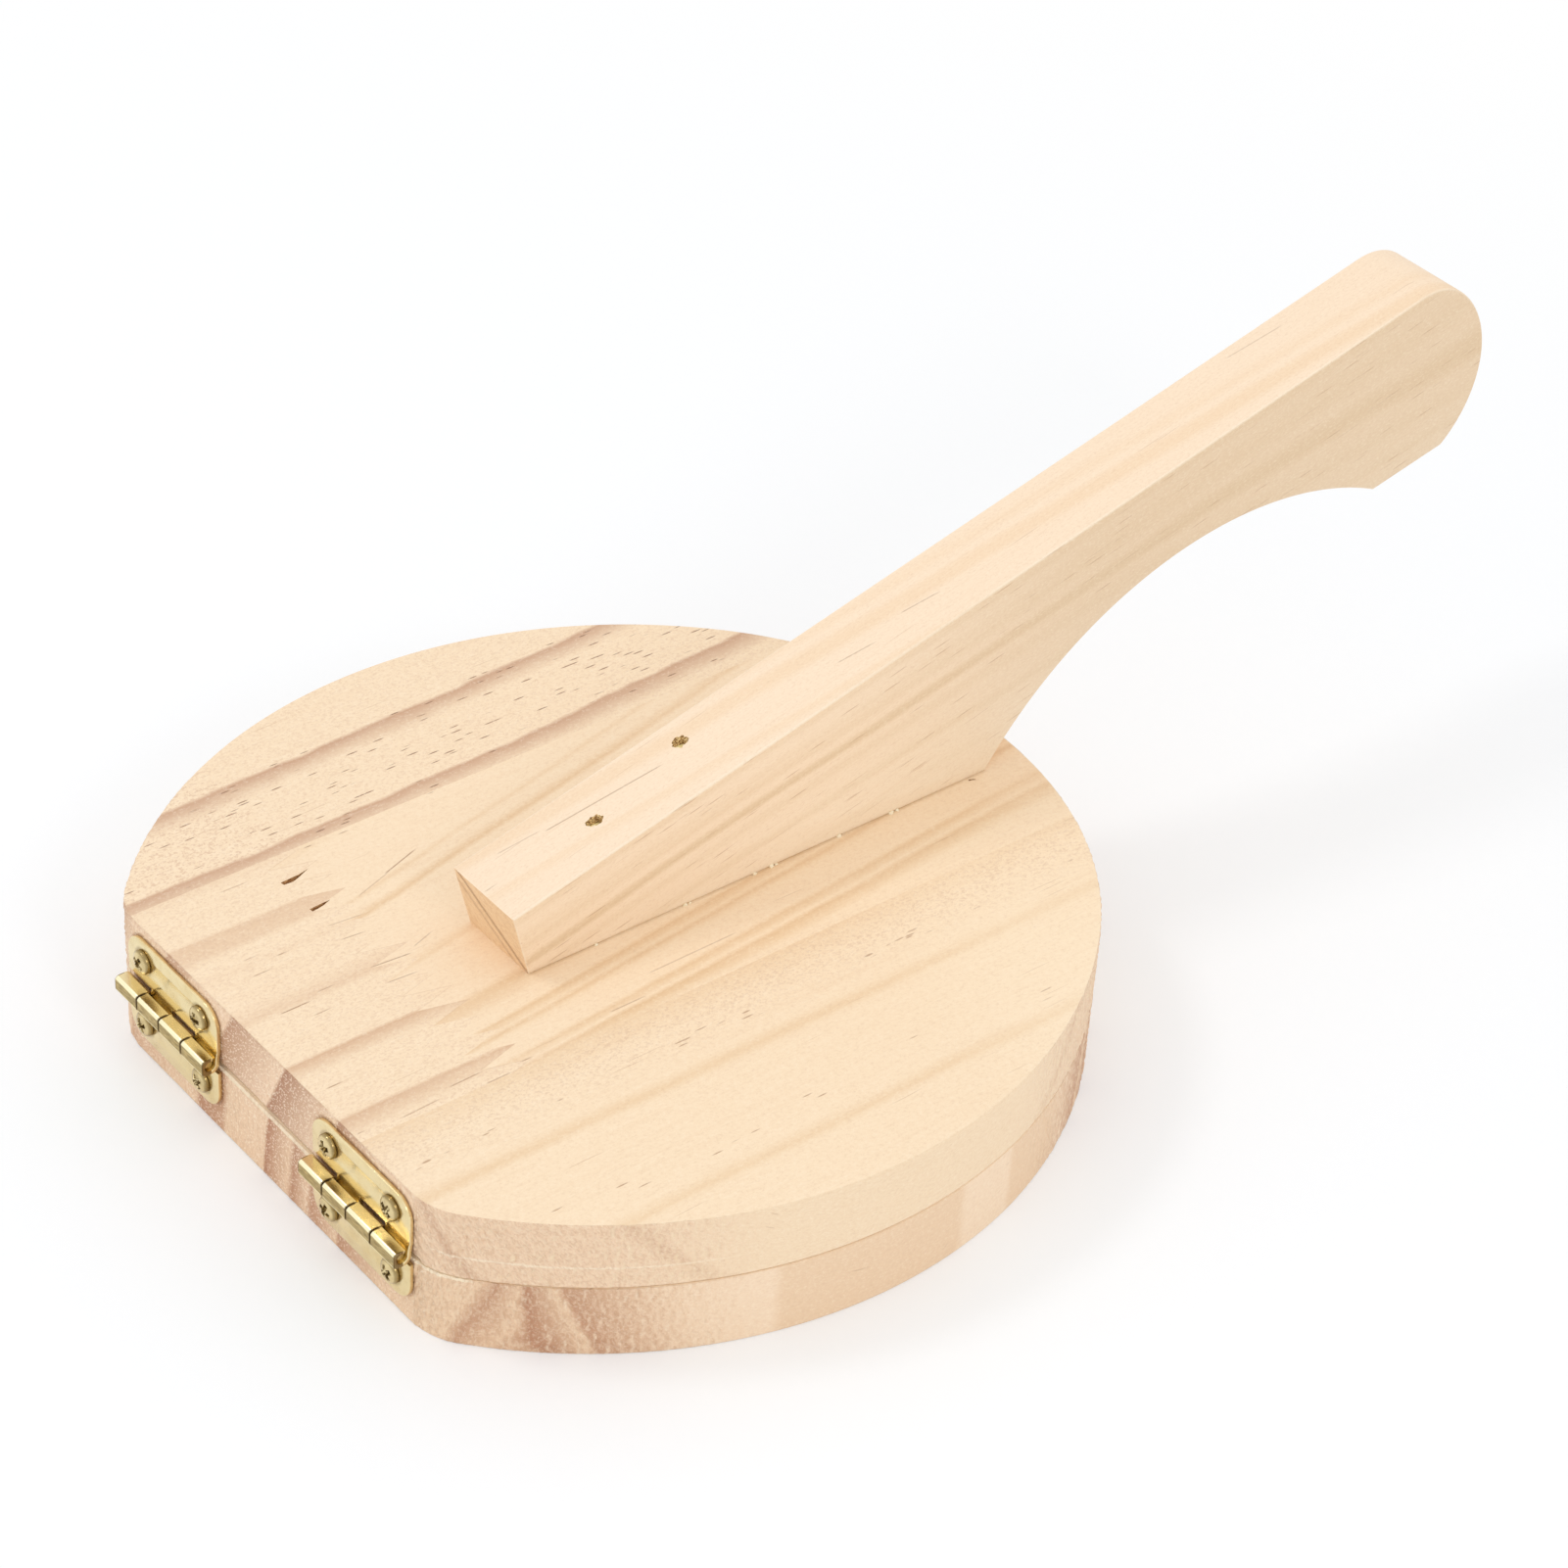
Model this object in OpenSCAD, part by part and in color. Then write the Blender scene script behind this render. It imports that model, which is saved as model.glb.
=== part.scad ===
// Hinged wooden tortilla press: two round boards, a lever handle and two brass butt hinges.
// Origin: middle of the bottom board on its resting face. +Z up, +Y towards the handle's tip,
// X along the hinge pins.

/* [Boards] */
// Width of both boards, measured along the hinge pins
board_w = 170; // [130:1:220]
// Reach of the boards from the origin to their round front
board_reach = 91; // [75:1:115]
// Width of the flat edge that carries the hinges
flat_w = 87; // [72:1:105]
// Radius of the two corners beside the flat edge
corner_r = 14; // [8:1:18]
// Thickness of the bottom board
base_t = 15.2; // [12:0.1:25]
// Thickness of the lid board
lid_t = 14.2; // [12:0.1:25]
// Gap that the hinges leave between the closed boards
platen_gap = 0.3; // [0.2:0.1:1]
// Width of the sanded bevel on every board edge
edge_bevel = 0.5; // [0.3:0.1:1]

/* [Handle] */
// Thickness of the plank that the handle is sawn from
handle_w = 18.4; // [14:0.1:26]
// How far the handle sits off the middle of the lid, towards the right
handle_off = -0.6; // [-2:0.1:2]
// Distance from the origin back to the top of the handle's rear end
handle_back = 29.4; // [15:0.1:40]
// Height of the handle's rear end over the lid
handle_back_h = 14; // [10:0.1:22]
// How far the rear end leans back over its foot
handle_lean = 3.7; // [0:0.1:6]
// Rise of the handle's top edge, in degrees
handle_slope = 14.6; // [11:0.1:18]
// Reach of the handle from the origin to its tip
handle_reach = 205.3; // [170:0.1:250]
// Radius of the tip's blunt nose
nose_r = 23.1; // [19:0.1:28]
// Radius of the tighter curve between the nose and the top edge
crown_r = 12.9; // [8:0.1:17]
// Where the two curves meet, in degrees above the level
crown_turn = 53.4; // [40:0.1:65]
// Distance from the tip back to the sharp corner of the finger hook
hook_back = 26; // [23:0.1:30]
// Height of the hook's corner over the lowest point that the nose curve would reach
hook_lift = 1.7; // [0.5:0.1:3]
// Rise of the straight cut from the hook to the nose, in degrees
hook_slope = 12.6; // [8:0.1:18]
// Distance from the lid's round front back to the foot of the finger arch
arch_inset = 10; // [4:0.5:20]
// Rise of the finger arch over a straight line from its foot to the hook
arch_rise = 19.1; // [12:0.1:24]
// Width of the sanded bevel along the handle's two top edges
handle_bevel = 0.4; // [0.3:0.1:1.5]

/* [Handle nails] */
// Distance of the rear nail behind the origin
nail_rear_y = 5.6; // [0:0.1:12]
// Distance of the front nail in front of the origin
nail_front_y = 16.3; // [8:0.1:40]
// How far the rear nail stands to the right of the handle's middle
nail_rear_off = 0.6; // [-4:0.1:4]
// How far the front nail stands to the left of the handle's middle
nail_front_off = 3.6; // [-4:0.1:5]
// Depth of the nail heads under the surface
nail_set = 1.3; // [0.5:0.1:3]
// Wood left under the point of the rear nail
nail_cover = 2.3; // [1:0.1:5]
// Width of the flat nail wire along the handle
nail_wire_w = 1.6; // [1.2:0.1:2]
// Thickness of the flat nail wire
nail_wire_t = 1.4; // [1:0.1:2]
// Length of the nail head along the handle
nail_head_w = 2.8; // [2:0.1:3.4]
// Height of the nail head
nail_head_h = 1; // [0.6:0.1:1.5]
// Length of the mark that the nail gun leaves
nail_mark_l = 3.8; // [3.4:0.1:5]
// Width of the mark that the nail gun leaves
nail_mark_w = 2; // [1.6:0.1:3]

/* [Hinges] */
// Length of each hinge along its pin
hinge_len = 29.4; // [24:0.1:34]
// How far each hinge reaches past the end of the flat edge
hinge_past = 1.1; // [0:0.1:2]
// Wood left bare between a leaf and the outer face of its board, on the thinner side
leaf_margin = 1.8; // [1:0.1:3]
// Thickness of the hinge sheet
leaf_t = 0.9; // [0.6:0.1:1.2]
// Radius of the leaf corners
leaf_corner_r = 4.2; // [2:0.1:5]
// Diameter of the hinge pin
pin_d = 2; // [1.6:0.1:2.6]
// Height of the pin axis over the middle of the gap between the boards
pin_rise = 1.15; // [0:0.05:1.5]
// Space between the hinge barrel and the wood behind it
barrel_standoff = 0.3; // [0.2:0.05:0.6]
// Number of knuckles in a barrel
knuckle_n = 4; // [2:2:6]
// Space between two neighbouring knuckles
knuckle_gap = 0.25; // [0.15:0.05:0.5]
// Depth of the three flats that the press leaves on a rolled knuckle
knuckle_flat = 0.25; // [0.1:0.05:0.4]
// Part of a turn that a knuckle is rolled through, in degrees
knuckle_roll = 290; // [250:5:300]

/* [Hinge screws] */
// Diameter of the screw heads
screw_head_d = 4.8; // [4:0.1:5.4]
// Height of the screw heads
screw_head_h = 1.4; // [1:0.1:1.6]
// Diameter of the screw shanks
screw_d = 2.4; // [2:0.1:3]
// Length of the screws under the head
screw_len = 9.5; // [7:0.5:14]
// Distance from a leaf's end to its screws
screw_inset = 5.3; // [4:0.1:7]
// Distance from a leaf's free edge to its screws
screw_edge = 4.2; // [3:0.1:5]
// Width of the driver cross cut in the heads
cross_w = 0.7; // [0.4:0.1:1]
// Span of the driver cross
cross_span = 2.8; // [2:0.1:3.6]
// Depth of the driver cross
cross_depth = 0.8; // [0.4:0.1:1]

/* [Clearances] */
// Radial play of the pin in the knuckles
pin_play = 0.05; // [0.02:0.01:0.1]
// Space round a knuckle in the other leaf's cut-out
knuckle_clear = 0.35; // [0.2:0.05:0.6]
// Radial space of a screw in its leaf hole
leaf_hole_play = 0.2; // [0.1:0.05:0.4]
// Space round a screw or nail in the wood
wood_play = 0.05; // [0.02:0.01:0.1]

/* [Hidden] */
$fn = 96;

// The outline is drawn with five arcs and a straight back. The side arcs and the front arc
// meet on a 45 degree ray, and each corner arc is tangent to its side arc and the flat edge.
meet_angle = 45;
arc_shift = (board_reach - board_w / 2) / (sin(meet_angle) + cos(meet_angle) - 1);
side_x = arc_shift * cos(meet_angle);
front_y = arc_shift * sin(meet_angle);
side_r = board_w / 2 + side_x;
front_r = board_reach - front_y;
corner_x = flat_w / 2;
corner_y = -sqrt(pow(side_r - corner_r, 2) - pow(corner_x + side_x, 2));
corner_angle = atan2(corner_y, corner_x + side_x);
back_y = corner_y - corner_r;
outline_far = 2 * board_w;
// Step between neighbouring arcs, far too small to see, so that they never share an edge
arc_step = 0.01;

// Heights of the closed press
lid_z = base_t + platen_gap;
top_z = lid_z + lid_t;
seam_z = base_t + platen_gap / 2;

// Handle profile, in (y, height over the lid)
foot = [board_reach - arch_inset, 0];
crown_y = handle_reach - nose_r + (nose_r - crown_r) * cos(crown_turn);
crown = [crown_y, top_edge(crown_y) - crown_r / cos(handle_slope)];
crown_top = crown + crown_r * [-sin(handle_slope), cos(handle_slope)];
nose = crown - (nose_r - crown_r) * [cos(crown_turn), sin(crown_turn)];
hook = [handle_reach - hook_back, nose[1] - nose_r + hook_lift];
arch_chord = hook - foot;
arch_half = norm(arch_chord) / 2;
arch_r = (pow(arch_half, 2) + pow(arch_rise, 2)) / (2 * arch_rise);
arch_tilt = atan2(arch_chord[1], arch_chord[0]);
arch_centre = (foot + hook) / 2 - (arch_r - arch_rise) * [-sin(arch_tilt), cos(arch_tilt)];
arch_overcut = 4;

// Nails: both have the length that the rear one needs
nail_len = top_edge(-nail_rear_y) - nail_set + lid_t - nail_cover;
nail_point = 2.5;

// Hinge geometry round the pin axis
pin_r = pin_d / 2;
bore_r = pin_r + pin_play;
barrel_r = bore_r + leaf_t;
wood_y = barrel_r + barrel_standoff;
pin_y = back_y - wood_y;
pin_z = seam_z + pin_rise;
leaf_reach = min(top_z - pin_z, pin_z) - leaf_margin;
hinge_x = flat_w / 2 + hinge_past - hinge_len / 2;
slot_h = barrel_r + knuckle_clear;
knuckle_len = hinge_len / knuckle_n;
neck_lap = 0.5;
neck_root = 0.15;
neck_inset = 0.02;
screw_x = hinge_len / 2 - screw_inset;
screw_z = max(leaf_reach - screw_edge, slot_h + neck_lap + knuckle_gap + screw_head_d / 2);
screw_point = 3;

// Height of the handle's straight top edge over the lid, at distance y from the origin
function top_edge(y) = handle_back_h + (y + handle_back) * tan(handle_slope);

// ---- shared forms ----

// Lays a profile drawn in (y, z) along X, or a revolve about Z on the X axis
module along_x() {
    rotate([90, 0, 90]) children();
}

// Full disc with its rim bevelled at both faces
module bevelled_disc(r, t) {
    rotate_extrude()
        polygon([
            [0, 0], [r - edge_bevel, 0], [r, edge_bevel],
            [r, t - edge_bevel], [r - edge_bevel, t], [0, t]
        ]);
}

// The piece of a disc round the given centre that lies in a region of the outline
module arc_piece(centre, r, t, region) {
    intersection() {
        translate([centre[0], centre[1], 0]) bevelled_disc(r, t);
        translate([0, 0, -t]) linear_extrude(3 * t) polygon(region);
    }
}

// D-shaped board: one arc piece for each stretch of the outline and the straight hinge edge
module round_board(t) {
    front = [0, front_y];
    corner = [corner_x, corner_y];
    front_ray = front + outline_far * [cos(meet_angle), sin(meet_angle)];
    corner_ray = corner + outline_far * [cos(corner_angle), sin(corner_angle)];
    arc_piece(front, front_r - arc_step, t, [
        front, front_ray, [-front_ray[0], front_ray[1]]
    ]);
    for (side = [0, 1]) mirror([side, 0, 0]) {
        arc_piece([-side_x, 0], side_r, t, [
            front, [0, corner_y], corner, corner_ray, front_ray
        ]);
        arc_piece(corner, corner_r - arc_step, t, [
            corner, [corner_x, back_y - outline_far], corner_ray
        ]);
    }
    translate([-corner_x, 0, 0])
        along_x()
            linear_extrude(flat_w)
                polygon([
                    [corner_y, 0], [back_y + edge_bevel, 0], [back_y, edge_bevel],
                    [back_y, t - edge_bevel], [back_y + edge_bevel, t], [corner_y, t]
                ]);
}

// Moves its children to the pin axis of one hinge: side is -1 for the left, 1 for the right
module at_hinge(side) {
    translate([side * hinge_x, pin_y, pin_z]) children();
}

// Places its children at a screw of a hinge, with +Z out of the leaf.
// out is 1 for the screw near the board's corner, row is 1 for the lid and -1 for the base.
module at_screw(side, out, row) {
    at_hinge(side)
        translate([side * out * screw_x, wood_y, row * screw_z])
            rotate([90, 0, 0]) children();
}

// Pilot holes for the four screws of one row, cut into a board's hinge edge
module pilot_holes(row) {
    for (side = [-1, 1], out = [-1, 1])
        at_screw(side, out, row)
            translate([0, 0, leaf_t - screw_len - wood_play])
                cylinder(r = screw_d / 2 + wood_play, h = screw_len + leaf_t);
}

// Pan-head screw: its axis is Z, and its head stands on z = leaf_t
module wood_screw() {
    head_r = screw_head_d / 2;
    dome_r = (pow(head_r, 2) + pow(screw_head_h, 2)) / (2 * screw_head_h);
    shank_l = screw_len - screw_point;
    translate([0, 0, leaf_t]) {
        difference() {
            intersection() {
                cylinder(r = head_r, h = screw_head_h);
                translate([0, 0, screw_head_h - dome_r - cross_depth / 4])
                    sphere(r = dome_r + cross_depth / 4);
            }
            for (turn = [45, 135])
                rotate([0, 0, turn])
                    translate([-cross_span / 2, -cross_w / 2, screw_head_h - cross_depth])
                        cube([cross_span, cross_w, screw_head_h]);
        }
        translate([0, 0, -shank_l]) cylinder(d = screw_d, h = shank_l);
        translate([0, 0, -screw_len])
            cylinder(d1 = screw_d / 5, d2 = screw_d, h = screw_point);
    }
}

// Flat-wire nail with a T head. Its head's top is at z = 0 and its point hangs below.
module flat_nail() {
    half = nail_wire_w / 2;
    along_x()
        translate([0, 0, -nail_wire_t / 2])
            linear_extrude(nail_wire_t)
                polygon([
                    [-nail_head_w / 2, 0], [-nail_head_w / 2, -nail_head_h],
                    [-half, -nail_head_h], [-half, nail_point - nail_len], [0, -nail_len],
                    [half, nail_point - nail_len], [half, -nail_head_h],
                    [nail_head_w / 2, -nail_head_h], [nail_head_w / 2, 0]
                ]);
}

// Hole that a nail leaves: the wire's path, the head's seat and the gun's mark above it
module nail_hole() {
    long = nail_head_w / 2 + wood_play;
    rise = nail_set + nail_mark_l;
    translate([-nail_wire_t / 2 - wood_play, -nail_wire_w / 2 - wood_play, -nail_len - wood_play])
        cube([nail_wire_t + 2 * wood_play, nail_wire_w + 2 * wood_play, nail_len]);
    translate([-nail_mark_w / 2, -long, -nail_head_h - wood_play])
        cube([nail_mark_w, 2 * long, nail_head_h + wood_play]);
    for (end = [-1, 1])
        translate([0, end * (nail_mark_l - nail_mark_w) / 2, 0])
            cylinder(d = nail_mark_w, h = rise);
    translate([-nail_mark_w / 2, (nail_mark_w - nail_mark_l) / 2, 0])
        cube([nail_mark_w, nail_mark_l - nail_mark_w, rise]);
}

// Places its children at the head of a handle nail
module at_nail(x, y) {
    translate([x, y, top_z + top_edge(y) - nail_set]) children();
}

module at_rear_nail() {
    at_nail(handle_off + nail_rear_off, -nail_rear_y) children();
}

module at_front_nail() {
    at_nail(handle_off - nail_front_off, nail_front_y) children();
}

// ---- wooden pieces ----

module bottom_board() {
    color("#EACBA0")
        difference() {
            round_board(base_t);
            pilot_holes(-1);
        }
}

module lid_board() {
    color("#F3DDB8")
        difference() {
            translate([0, 0, lid_z]) round_board(lid_t);
            pilot_holes(1);
            at_rear_nail() nail_hole();
            at_front_nail() nail_hole();
        }
}

// The handle's side profile as a prism: straight edges, the nose below the ray where the two
// curves meet, and the crown as a whole disc that lies inside the rest
module handle_blank() {
    cut_dir = [cos(hook_slope), sin(hook_slope)];
    ray_dir = [cos(crown_turn), sin(crown_turn)];
    hook_in = hook - arch_overcut * cut_dir;
    along_x() translate([0, 0, -handle_w / 2]) {
        linear_extrude(handle_w)
            polygon([
                [handle_lean - handle_back, 0], [-handle_back, handle_back_h],
                crown_top, nose, hook_in, foot + [arch_overcut, 0]
            ]);
        intersection() {
            translate([nose[0], nose[1], 0]) cylinder(r = nose_r, h = handle_w);
            translate([0, 0, -handle_w])
                linear_extrude(3 * handle_w)
                    polygon([
                        hook_in, hook + 2 * nose_r * cut_dir,
                        nose + 2 * nose_r * ray_dir, nose - nose_r * ray_dir / 2
                    ]);
        }
        translate([crown[0], crown[1], 0]) cylinder(r = crown_r - arc_step, h = handle_w);
    }
}

// Block whose inner face takes the bevel off one long top edge
module top_bevel() {
    run = handle_reach + 2 * handle_back;
    block = 4 * handle_bevel;
    translate([handle_w / 2, -handle_back, top_z + handle_back_h])
        rotate([handle_slope, 0, 0])
            rotate([0, -45, 0])
                translate([-handle_bevel / sqrt(2), -handle_back, -block / 2])
                    cube([block, run, block]);
}

module handle() {
    color("#F1D6AC")
        difference() {
            translate([handle_off, 0, top_z]) handle_blank();
            translate([handle_off - handle_w, arch_centre[0], top_z + arch_centre[1]])
                rotate([0, 90, 0])
                    cylinder(r = arch_r, h = 2 * handle_w, $fn = 180);
            for (side = [0, 1])
                translate([handle_off, 0, 0]) mirror([side, 0, 0]) top_bevel();
            at_rear_nail() nail_hole();
            at_front_nail() nail_hole();
        }
}

module handle_nail_rear() {
    color("#B89A4A") at_rear_nail() flat_nail();
}

module handle_nail_front() {
    color("#B89A4A") at_front_nail() flat_nail();
}

// ---- hinge pieces, drawn round the pin axis with the wood on the +Y side ----

// Plate of a leaf that stands up from the barrel, with its two free corners rounded
module leaf_plate() {
    half = hinge_len / 2;
    r = min(leaf_corner_r, (leaf_reach - slot_h) / 2 - arc_step);
    translate([0, wood_y, 0])
        rotate([90, 0, 0])
            linear_extrude(leaf_t) {
                translate([-half, slot_h]) square([hinge_len, leaf_reach - r - slot_h]);
                translate([r - half, slot_h]) square([hinge_len - 2 * r, leaf_reach - slot_h]);
                for (side = [-1, 1]) translate([side * (half - r), leaf_reach - r]) circle(r);
            }
}

// Knuckle i of a leaf that stands up: a joggled neck that rolls down, out and back over the
// pin, pressed flat below, above and on its outer side
module rolled_knuckle(i) {
    length = knuckle_len - knuckle_gap;
    start = (i + 0.5) * knuckle_len - hinge_len / 2 - length / 2;
    flat_r = barrel_r - knuckle_flat;
    translate([start, 0, 0]) {
        intersection() {
            along_x()
                rotate([0, 0, -knuckle_roll])
                    rotate_extrude(angle = knuckle_roll)
                        translate([bore_r, 0]) square([leaf_t, length]);
            translate([-length / 2, -flat_r, -flat_r])
                cube([2 * length, 2 * barrel_r, 2 * flat_r]);
        }
        translate([0, bore_r + neck_inset, -neck_root])
            cube([length, leaf_t - 2 * neck_inset, neck_root + slot_h + neck_lap]);
    }
}

// A leaf that stands up from the pin, with every second knuckle starting at the given one
module butt_leaf(first) {
    difference() {
        union() {
            leaf_plate();
            for (i = [first : 2 : knuckle_n - 1]) rolled_knuckle(i);
        }
        for (end = [-1, 1])
            translate([end * screw_x, wood_y + leaf_t, screw_z])
                rotate([90, 0, 0])
                    cylinder(r = screw_d / 2 + leaf_hole_play, h = 3 * leaf_t);
    }
}

module upper_leaf() {
    color("#D8C36A") butt_leaf(1);
}

module lower_leaf() {
    color("#CDB65C") mirror([0, 0, 1]) butt_leaf(0);
}

module hinge_pin() {
    color("#A89040")
        translate([-hinge_len / 2, 0, 0])
            rotate([0, 90, 0]) cylinder(r = pin_r, h = hinge_len);
}

module brass_screw() {
    color("#C2A850") wood_screw();
}

module left_lower_leaf() { at_hinge(-1) lower_leaf(); }
module left_upper_leaf() { at_hinge(-1) upper_leaf(); }
module left_hinge_pin() { at_hinge(-1) hinge_pin(); }
module left_lower_screw_outer() { at_screw(-1, 1, -1) brass_screw(); }
module left_lower_screw_inner() { at_screw(-1, -1, -1) brass_screw(); }
module left_upper_screw_outer() { at_screw(-1, 1, 1) brass_screw(); }
module left_upper_screw_inner() { at_screw(-1, -1, 1) brass_screw(); }
module right_lower_leaf() { at_hinge(1) lower_leaf(); }
module right_upper_leaf() { at_hinge(1) upper_leaf(); }
module right_hinge_pin() { at_hinge(1) hinge_pin(); }
module right_lower_screw_outer() { at_screw(1, 1, -1) brass_screw(); }
module right_lower_screw_inner() { at_screw(1, -1, -1) brass_screw(); }
module right_upper_screw_outer() { at_screw(1, 1, 1) brass_screw(); }
module right_upper_screw_inner() { at_screw(1, -1, 1) brass_screw(); }

bottom_board();
lid_board();
handle();
handle_nail_rear();
handle_nail_front();
left_lower_leaf();
left_upper_leaf();
left_hinge_pin();
left_lower_screw_outer();
left_lower_screw_inner();
left_upper_screw_outer();
left_upper_screw_inner();
right_lower_leaf();
right_upper_leaf();
right_hinge_pin();
right_lower_screw_outer();
right_lower_screw_inner();
right_upper_screw_outer();
right_upper_screw_inner();
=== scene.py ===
from math import atan2, cos, degrees, pi, radians, sin

import bmesh
import bpy
from mathutils import Matrix, Vector, noise


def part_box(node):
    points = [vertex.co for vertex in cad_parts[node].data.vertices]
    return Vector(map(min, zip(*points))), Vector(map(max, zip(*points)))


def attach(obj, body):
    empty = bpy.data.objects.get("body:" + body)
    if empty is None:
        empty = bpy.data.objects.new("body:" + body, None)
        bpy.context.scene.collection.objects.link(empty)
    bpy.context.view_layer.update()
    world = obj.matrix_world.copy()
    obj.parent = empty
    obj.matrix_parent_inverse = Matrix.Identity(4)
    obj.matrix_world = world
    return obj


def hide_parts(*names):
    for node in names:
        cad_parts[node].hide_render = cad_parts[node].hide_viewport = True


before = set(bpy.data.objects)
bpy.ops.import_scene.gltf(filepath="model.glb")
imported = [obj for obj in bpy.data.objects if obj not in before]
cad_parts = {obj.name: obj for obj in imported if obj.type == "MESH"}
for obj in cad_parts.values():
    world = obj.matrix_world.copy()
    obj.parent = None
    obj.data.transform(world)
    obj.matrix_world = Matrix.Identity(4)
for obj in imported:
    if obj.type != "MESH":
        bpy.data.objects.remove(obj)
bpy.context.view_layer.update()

# ---- bottom board ----
# The plate that stands on the table. It is a panel of pine strips glued edge to edge, planed,
# sawn to a round with one straight side for the hinges, and lightly sanded on the edges.

MM = 0.001
base_low, base_high = (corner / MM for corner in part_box("bottom_board"))
BOARD_REACH = base_high.y
BOARD_BACK = base_low.y
FLAT_W = 87
CORNER_R = 14
MEET_ANGLE = 45
RIM_STEP = 0.38
PILOT_R = 1.25
LEAF_HALF = 14.7
LEAF_CORNER = 4.2
leaf_low, leaf_high = (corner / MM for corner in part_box("right_lower_leaf"))
LEAF_MIDDLE = (leaf_low.x + leaf_high.x) / 2
pin_low, pin_high = (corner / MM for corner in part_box("left_hinge_pin"))
PIN_Y = (pin_low.y + pin_high.y) / 2
PIN_Z = (pin_low.z + pin_high.z) / 2
arc_shift = (BOARD_REACH - base_high.x) / (sin(radians(MEET_ANGLE)) + cos(radians(MEET_ANGLE)) - 1)
SIDE_X = arc_shift * cos(radians(MEET_ANGLE))
FRONT_Y = arc_shift * sin(radians(MEET_ANGLE))


def arc_points(centre, radius, start, end, step):
    """Points and outward normals along an arc, from start to end degrees, without its last point."""
    count = max(2, round(abs(radians(end - start)) * radius / step))
    angles = [radians(start + (end - start) * i / count) for i in range(count)]
    return [
        (Vector((centre[0] + radius * cos(a), centre[1] + radius * sin(a))), Vector((cos(a), sin(a))))
        for a in angles
    ]


def board_outline():
    """The round with one straight side, anticlockwise: points in mm and their outward normals."""
    side_r = base_high.x + SIDE_X
    corner_y = BOARD_BACK + CORNER_R
    turn = degrees(atan2(corner_y, FLAT_W / 2 + SIDE_X))
    count = round(FLAT_W / RIM_STEP)
    outline = [
        (Vector((FLAT_W * (i / count - 0.5), BOARD_BACK)), Vector((0, -1)))
        for i in range(count)
    ]
    outline += arc_points((FLAT_W / 2, corner_y), CORNER_R, -90, turn, RIM_STEP)
    outline += arc_points((-SIDE_X, 0), side_r, turn, MEET_ANGLE, RIM_STEP)
    outline += arc_points((0, FRONT_Y), BOARD_REACH - FRONT_Y, MEET_ANGLE, 180 - MEET_ANGLE, RIM_STEP)
    outline += arc_points((SIDE_X, 0), side_r, 180 - MEET_ANGLE, 180 - turn, RIM_STEP)
    outline += arc_points((-FLAT_W / 2, corner_y), CORNER_R, 180 - turn, 270, RIM_STEP)
    return outline


def torn_fibre(point, normal):
    """Depth in mm that the saw tore out of the rim: deepest where it crossed the grain."""
    across = min(1.0, max(0.0, abs(normal.y) - 0.3) / 0.3)
    if abs(normal.y) > 0.995:
        across = 0.15
    nap = 0.5 + noise.noise(Vector((point.x * 1.15, point.y * 1.15, point.z * 1.0)))
    pit = max(0.0, noise.noise(Vector((point.x * 1.2, point.y * 1.2, point.z * 0.7 + 40))) - 0.15)
    patch = 0.75 + 0.6 * noise.noise(point * 0.05 + Vector((2, 9, 4)))
    return max(0.0, (0.02 + 0.36 * across * patch) * nap + 0.4 * across * patch * pit)


def new_object(name, data):
    """An object in the scene made of the given data."""
    made = bpy.data.objects.new(name, data)
    bpy.context.scene.collection.objects.link(made)
    return made


def make_piece(name, points, faces):
    """A mesh object with the given points, in mm of the row frame."""
    mesh = bpy.data.meshes.new(name)
    mesh.from_pydata([Vector(p) * MM for p in points], [], faces)
    mesh.validate()
    return new_object(name, mesh)


def loft(name, rings):
    """A closed body through rings of equally many points, with a flat face at each end."""
    size = len(rings[0])
    points = [p for ring in rings for p in ring]
    faces = []
    for row in range(len(rings) - 1):
        for i in range(size):
            low, high = row * size, (row + 1) * size
            faces.append((low + i, low + (i + 1) % size, high + (i + 1) % size, high + i))
    faces.append(tuple(reversed(range(size))))
    faces.append(tuple(range(len(points) - size, len(points))))
    return make_piece(name, points, faces)


def shade(piece, angle=35):
    """Smooth shading, with every edge sharper than the angle left crisp."""
    piece.data.polygons.foreach_set("use_smooth", [True] * len(piece.data.polygons))
    piece.data.set_sharp_from_angle(angle=radians(angle))


def carve(piece, cutters, inside=0):
    """Cuts the cutters out of the piece and removes them. The cut faces get the piece's finish
    of the given number."""
    for cutter in cutters:
        cutter.data.polygons.foreach_set("material_index", [inside] * len(cutter.data.polygons))
        step = piece.modifiers.new("carve", "BOOLEAN")
        step.operation = "DIFFERENCE"
        step.solver = "EXACT"
        step.object = cutter
    graph = bpy.context.evaluated_depsgraph_get()
    carved = bpy.data.meshes.new_from_object(piece.evaluated_get(graph))
    piece.modifiers.clear()
    piece.data = carved
    for cutter in cutters:
        bpy.data.objects.remove(cutter)


def circle(radius, count, x=0, y=0):
    """Points spaced evenly round a circle."""
    angles = [2 * pi * i / count for i in range(count)]
    return [(x + radius * cos(a), y + radius * sin(a)) for a in angles]


def rod(start, end, radius, sides=24):
    """A plain round rod between two points, used to drill a hole."""
    start, end = Vector(start), Vector(end)
    turn = (end - start).to_track_quat("Z", "Y")
    ring = [turn @ Vector((*spot, 0)) for spot in circle(radius, sides)]
    return loft("drill", [[start + p for p in ring], [end + p for p in ring]])


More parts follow.
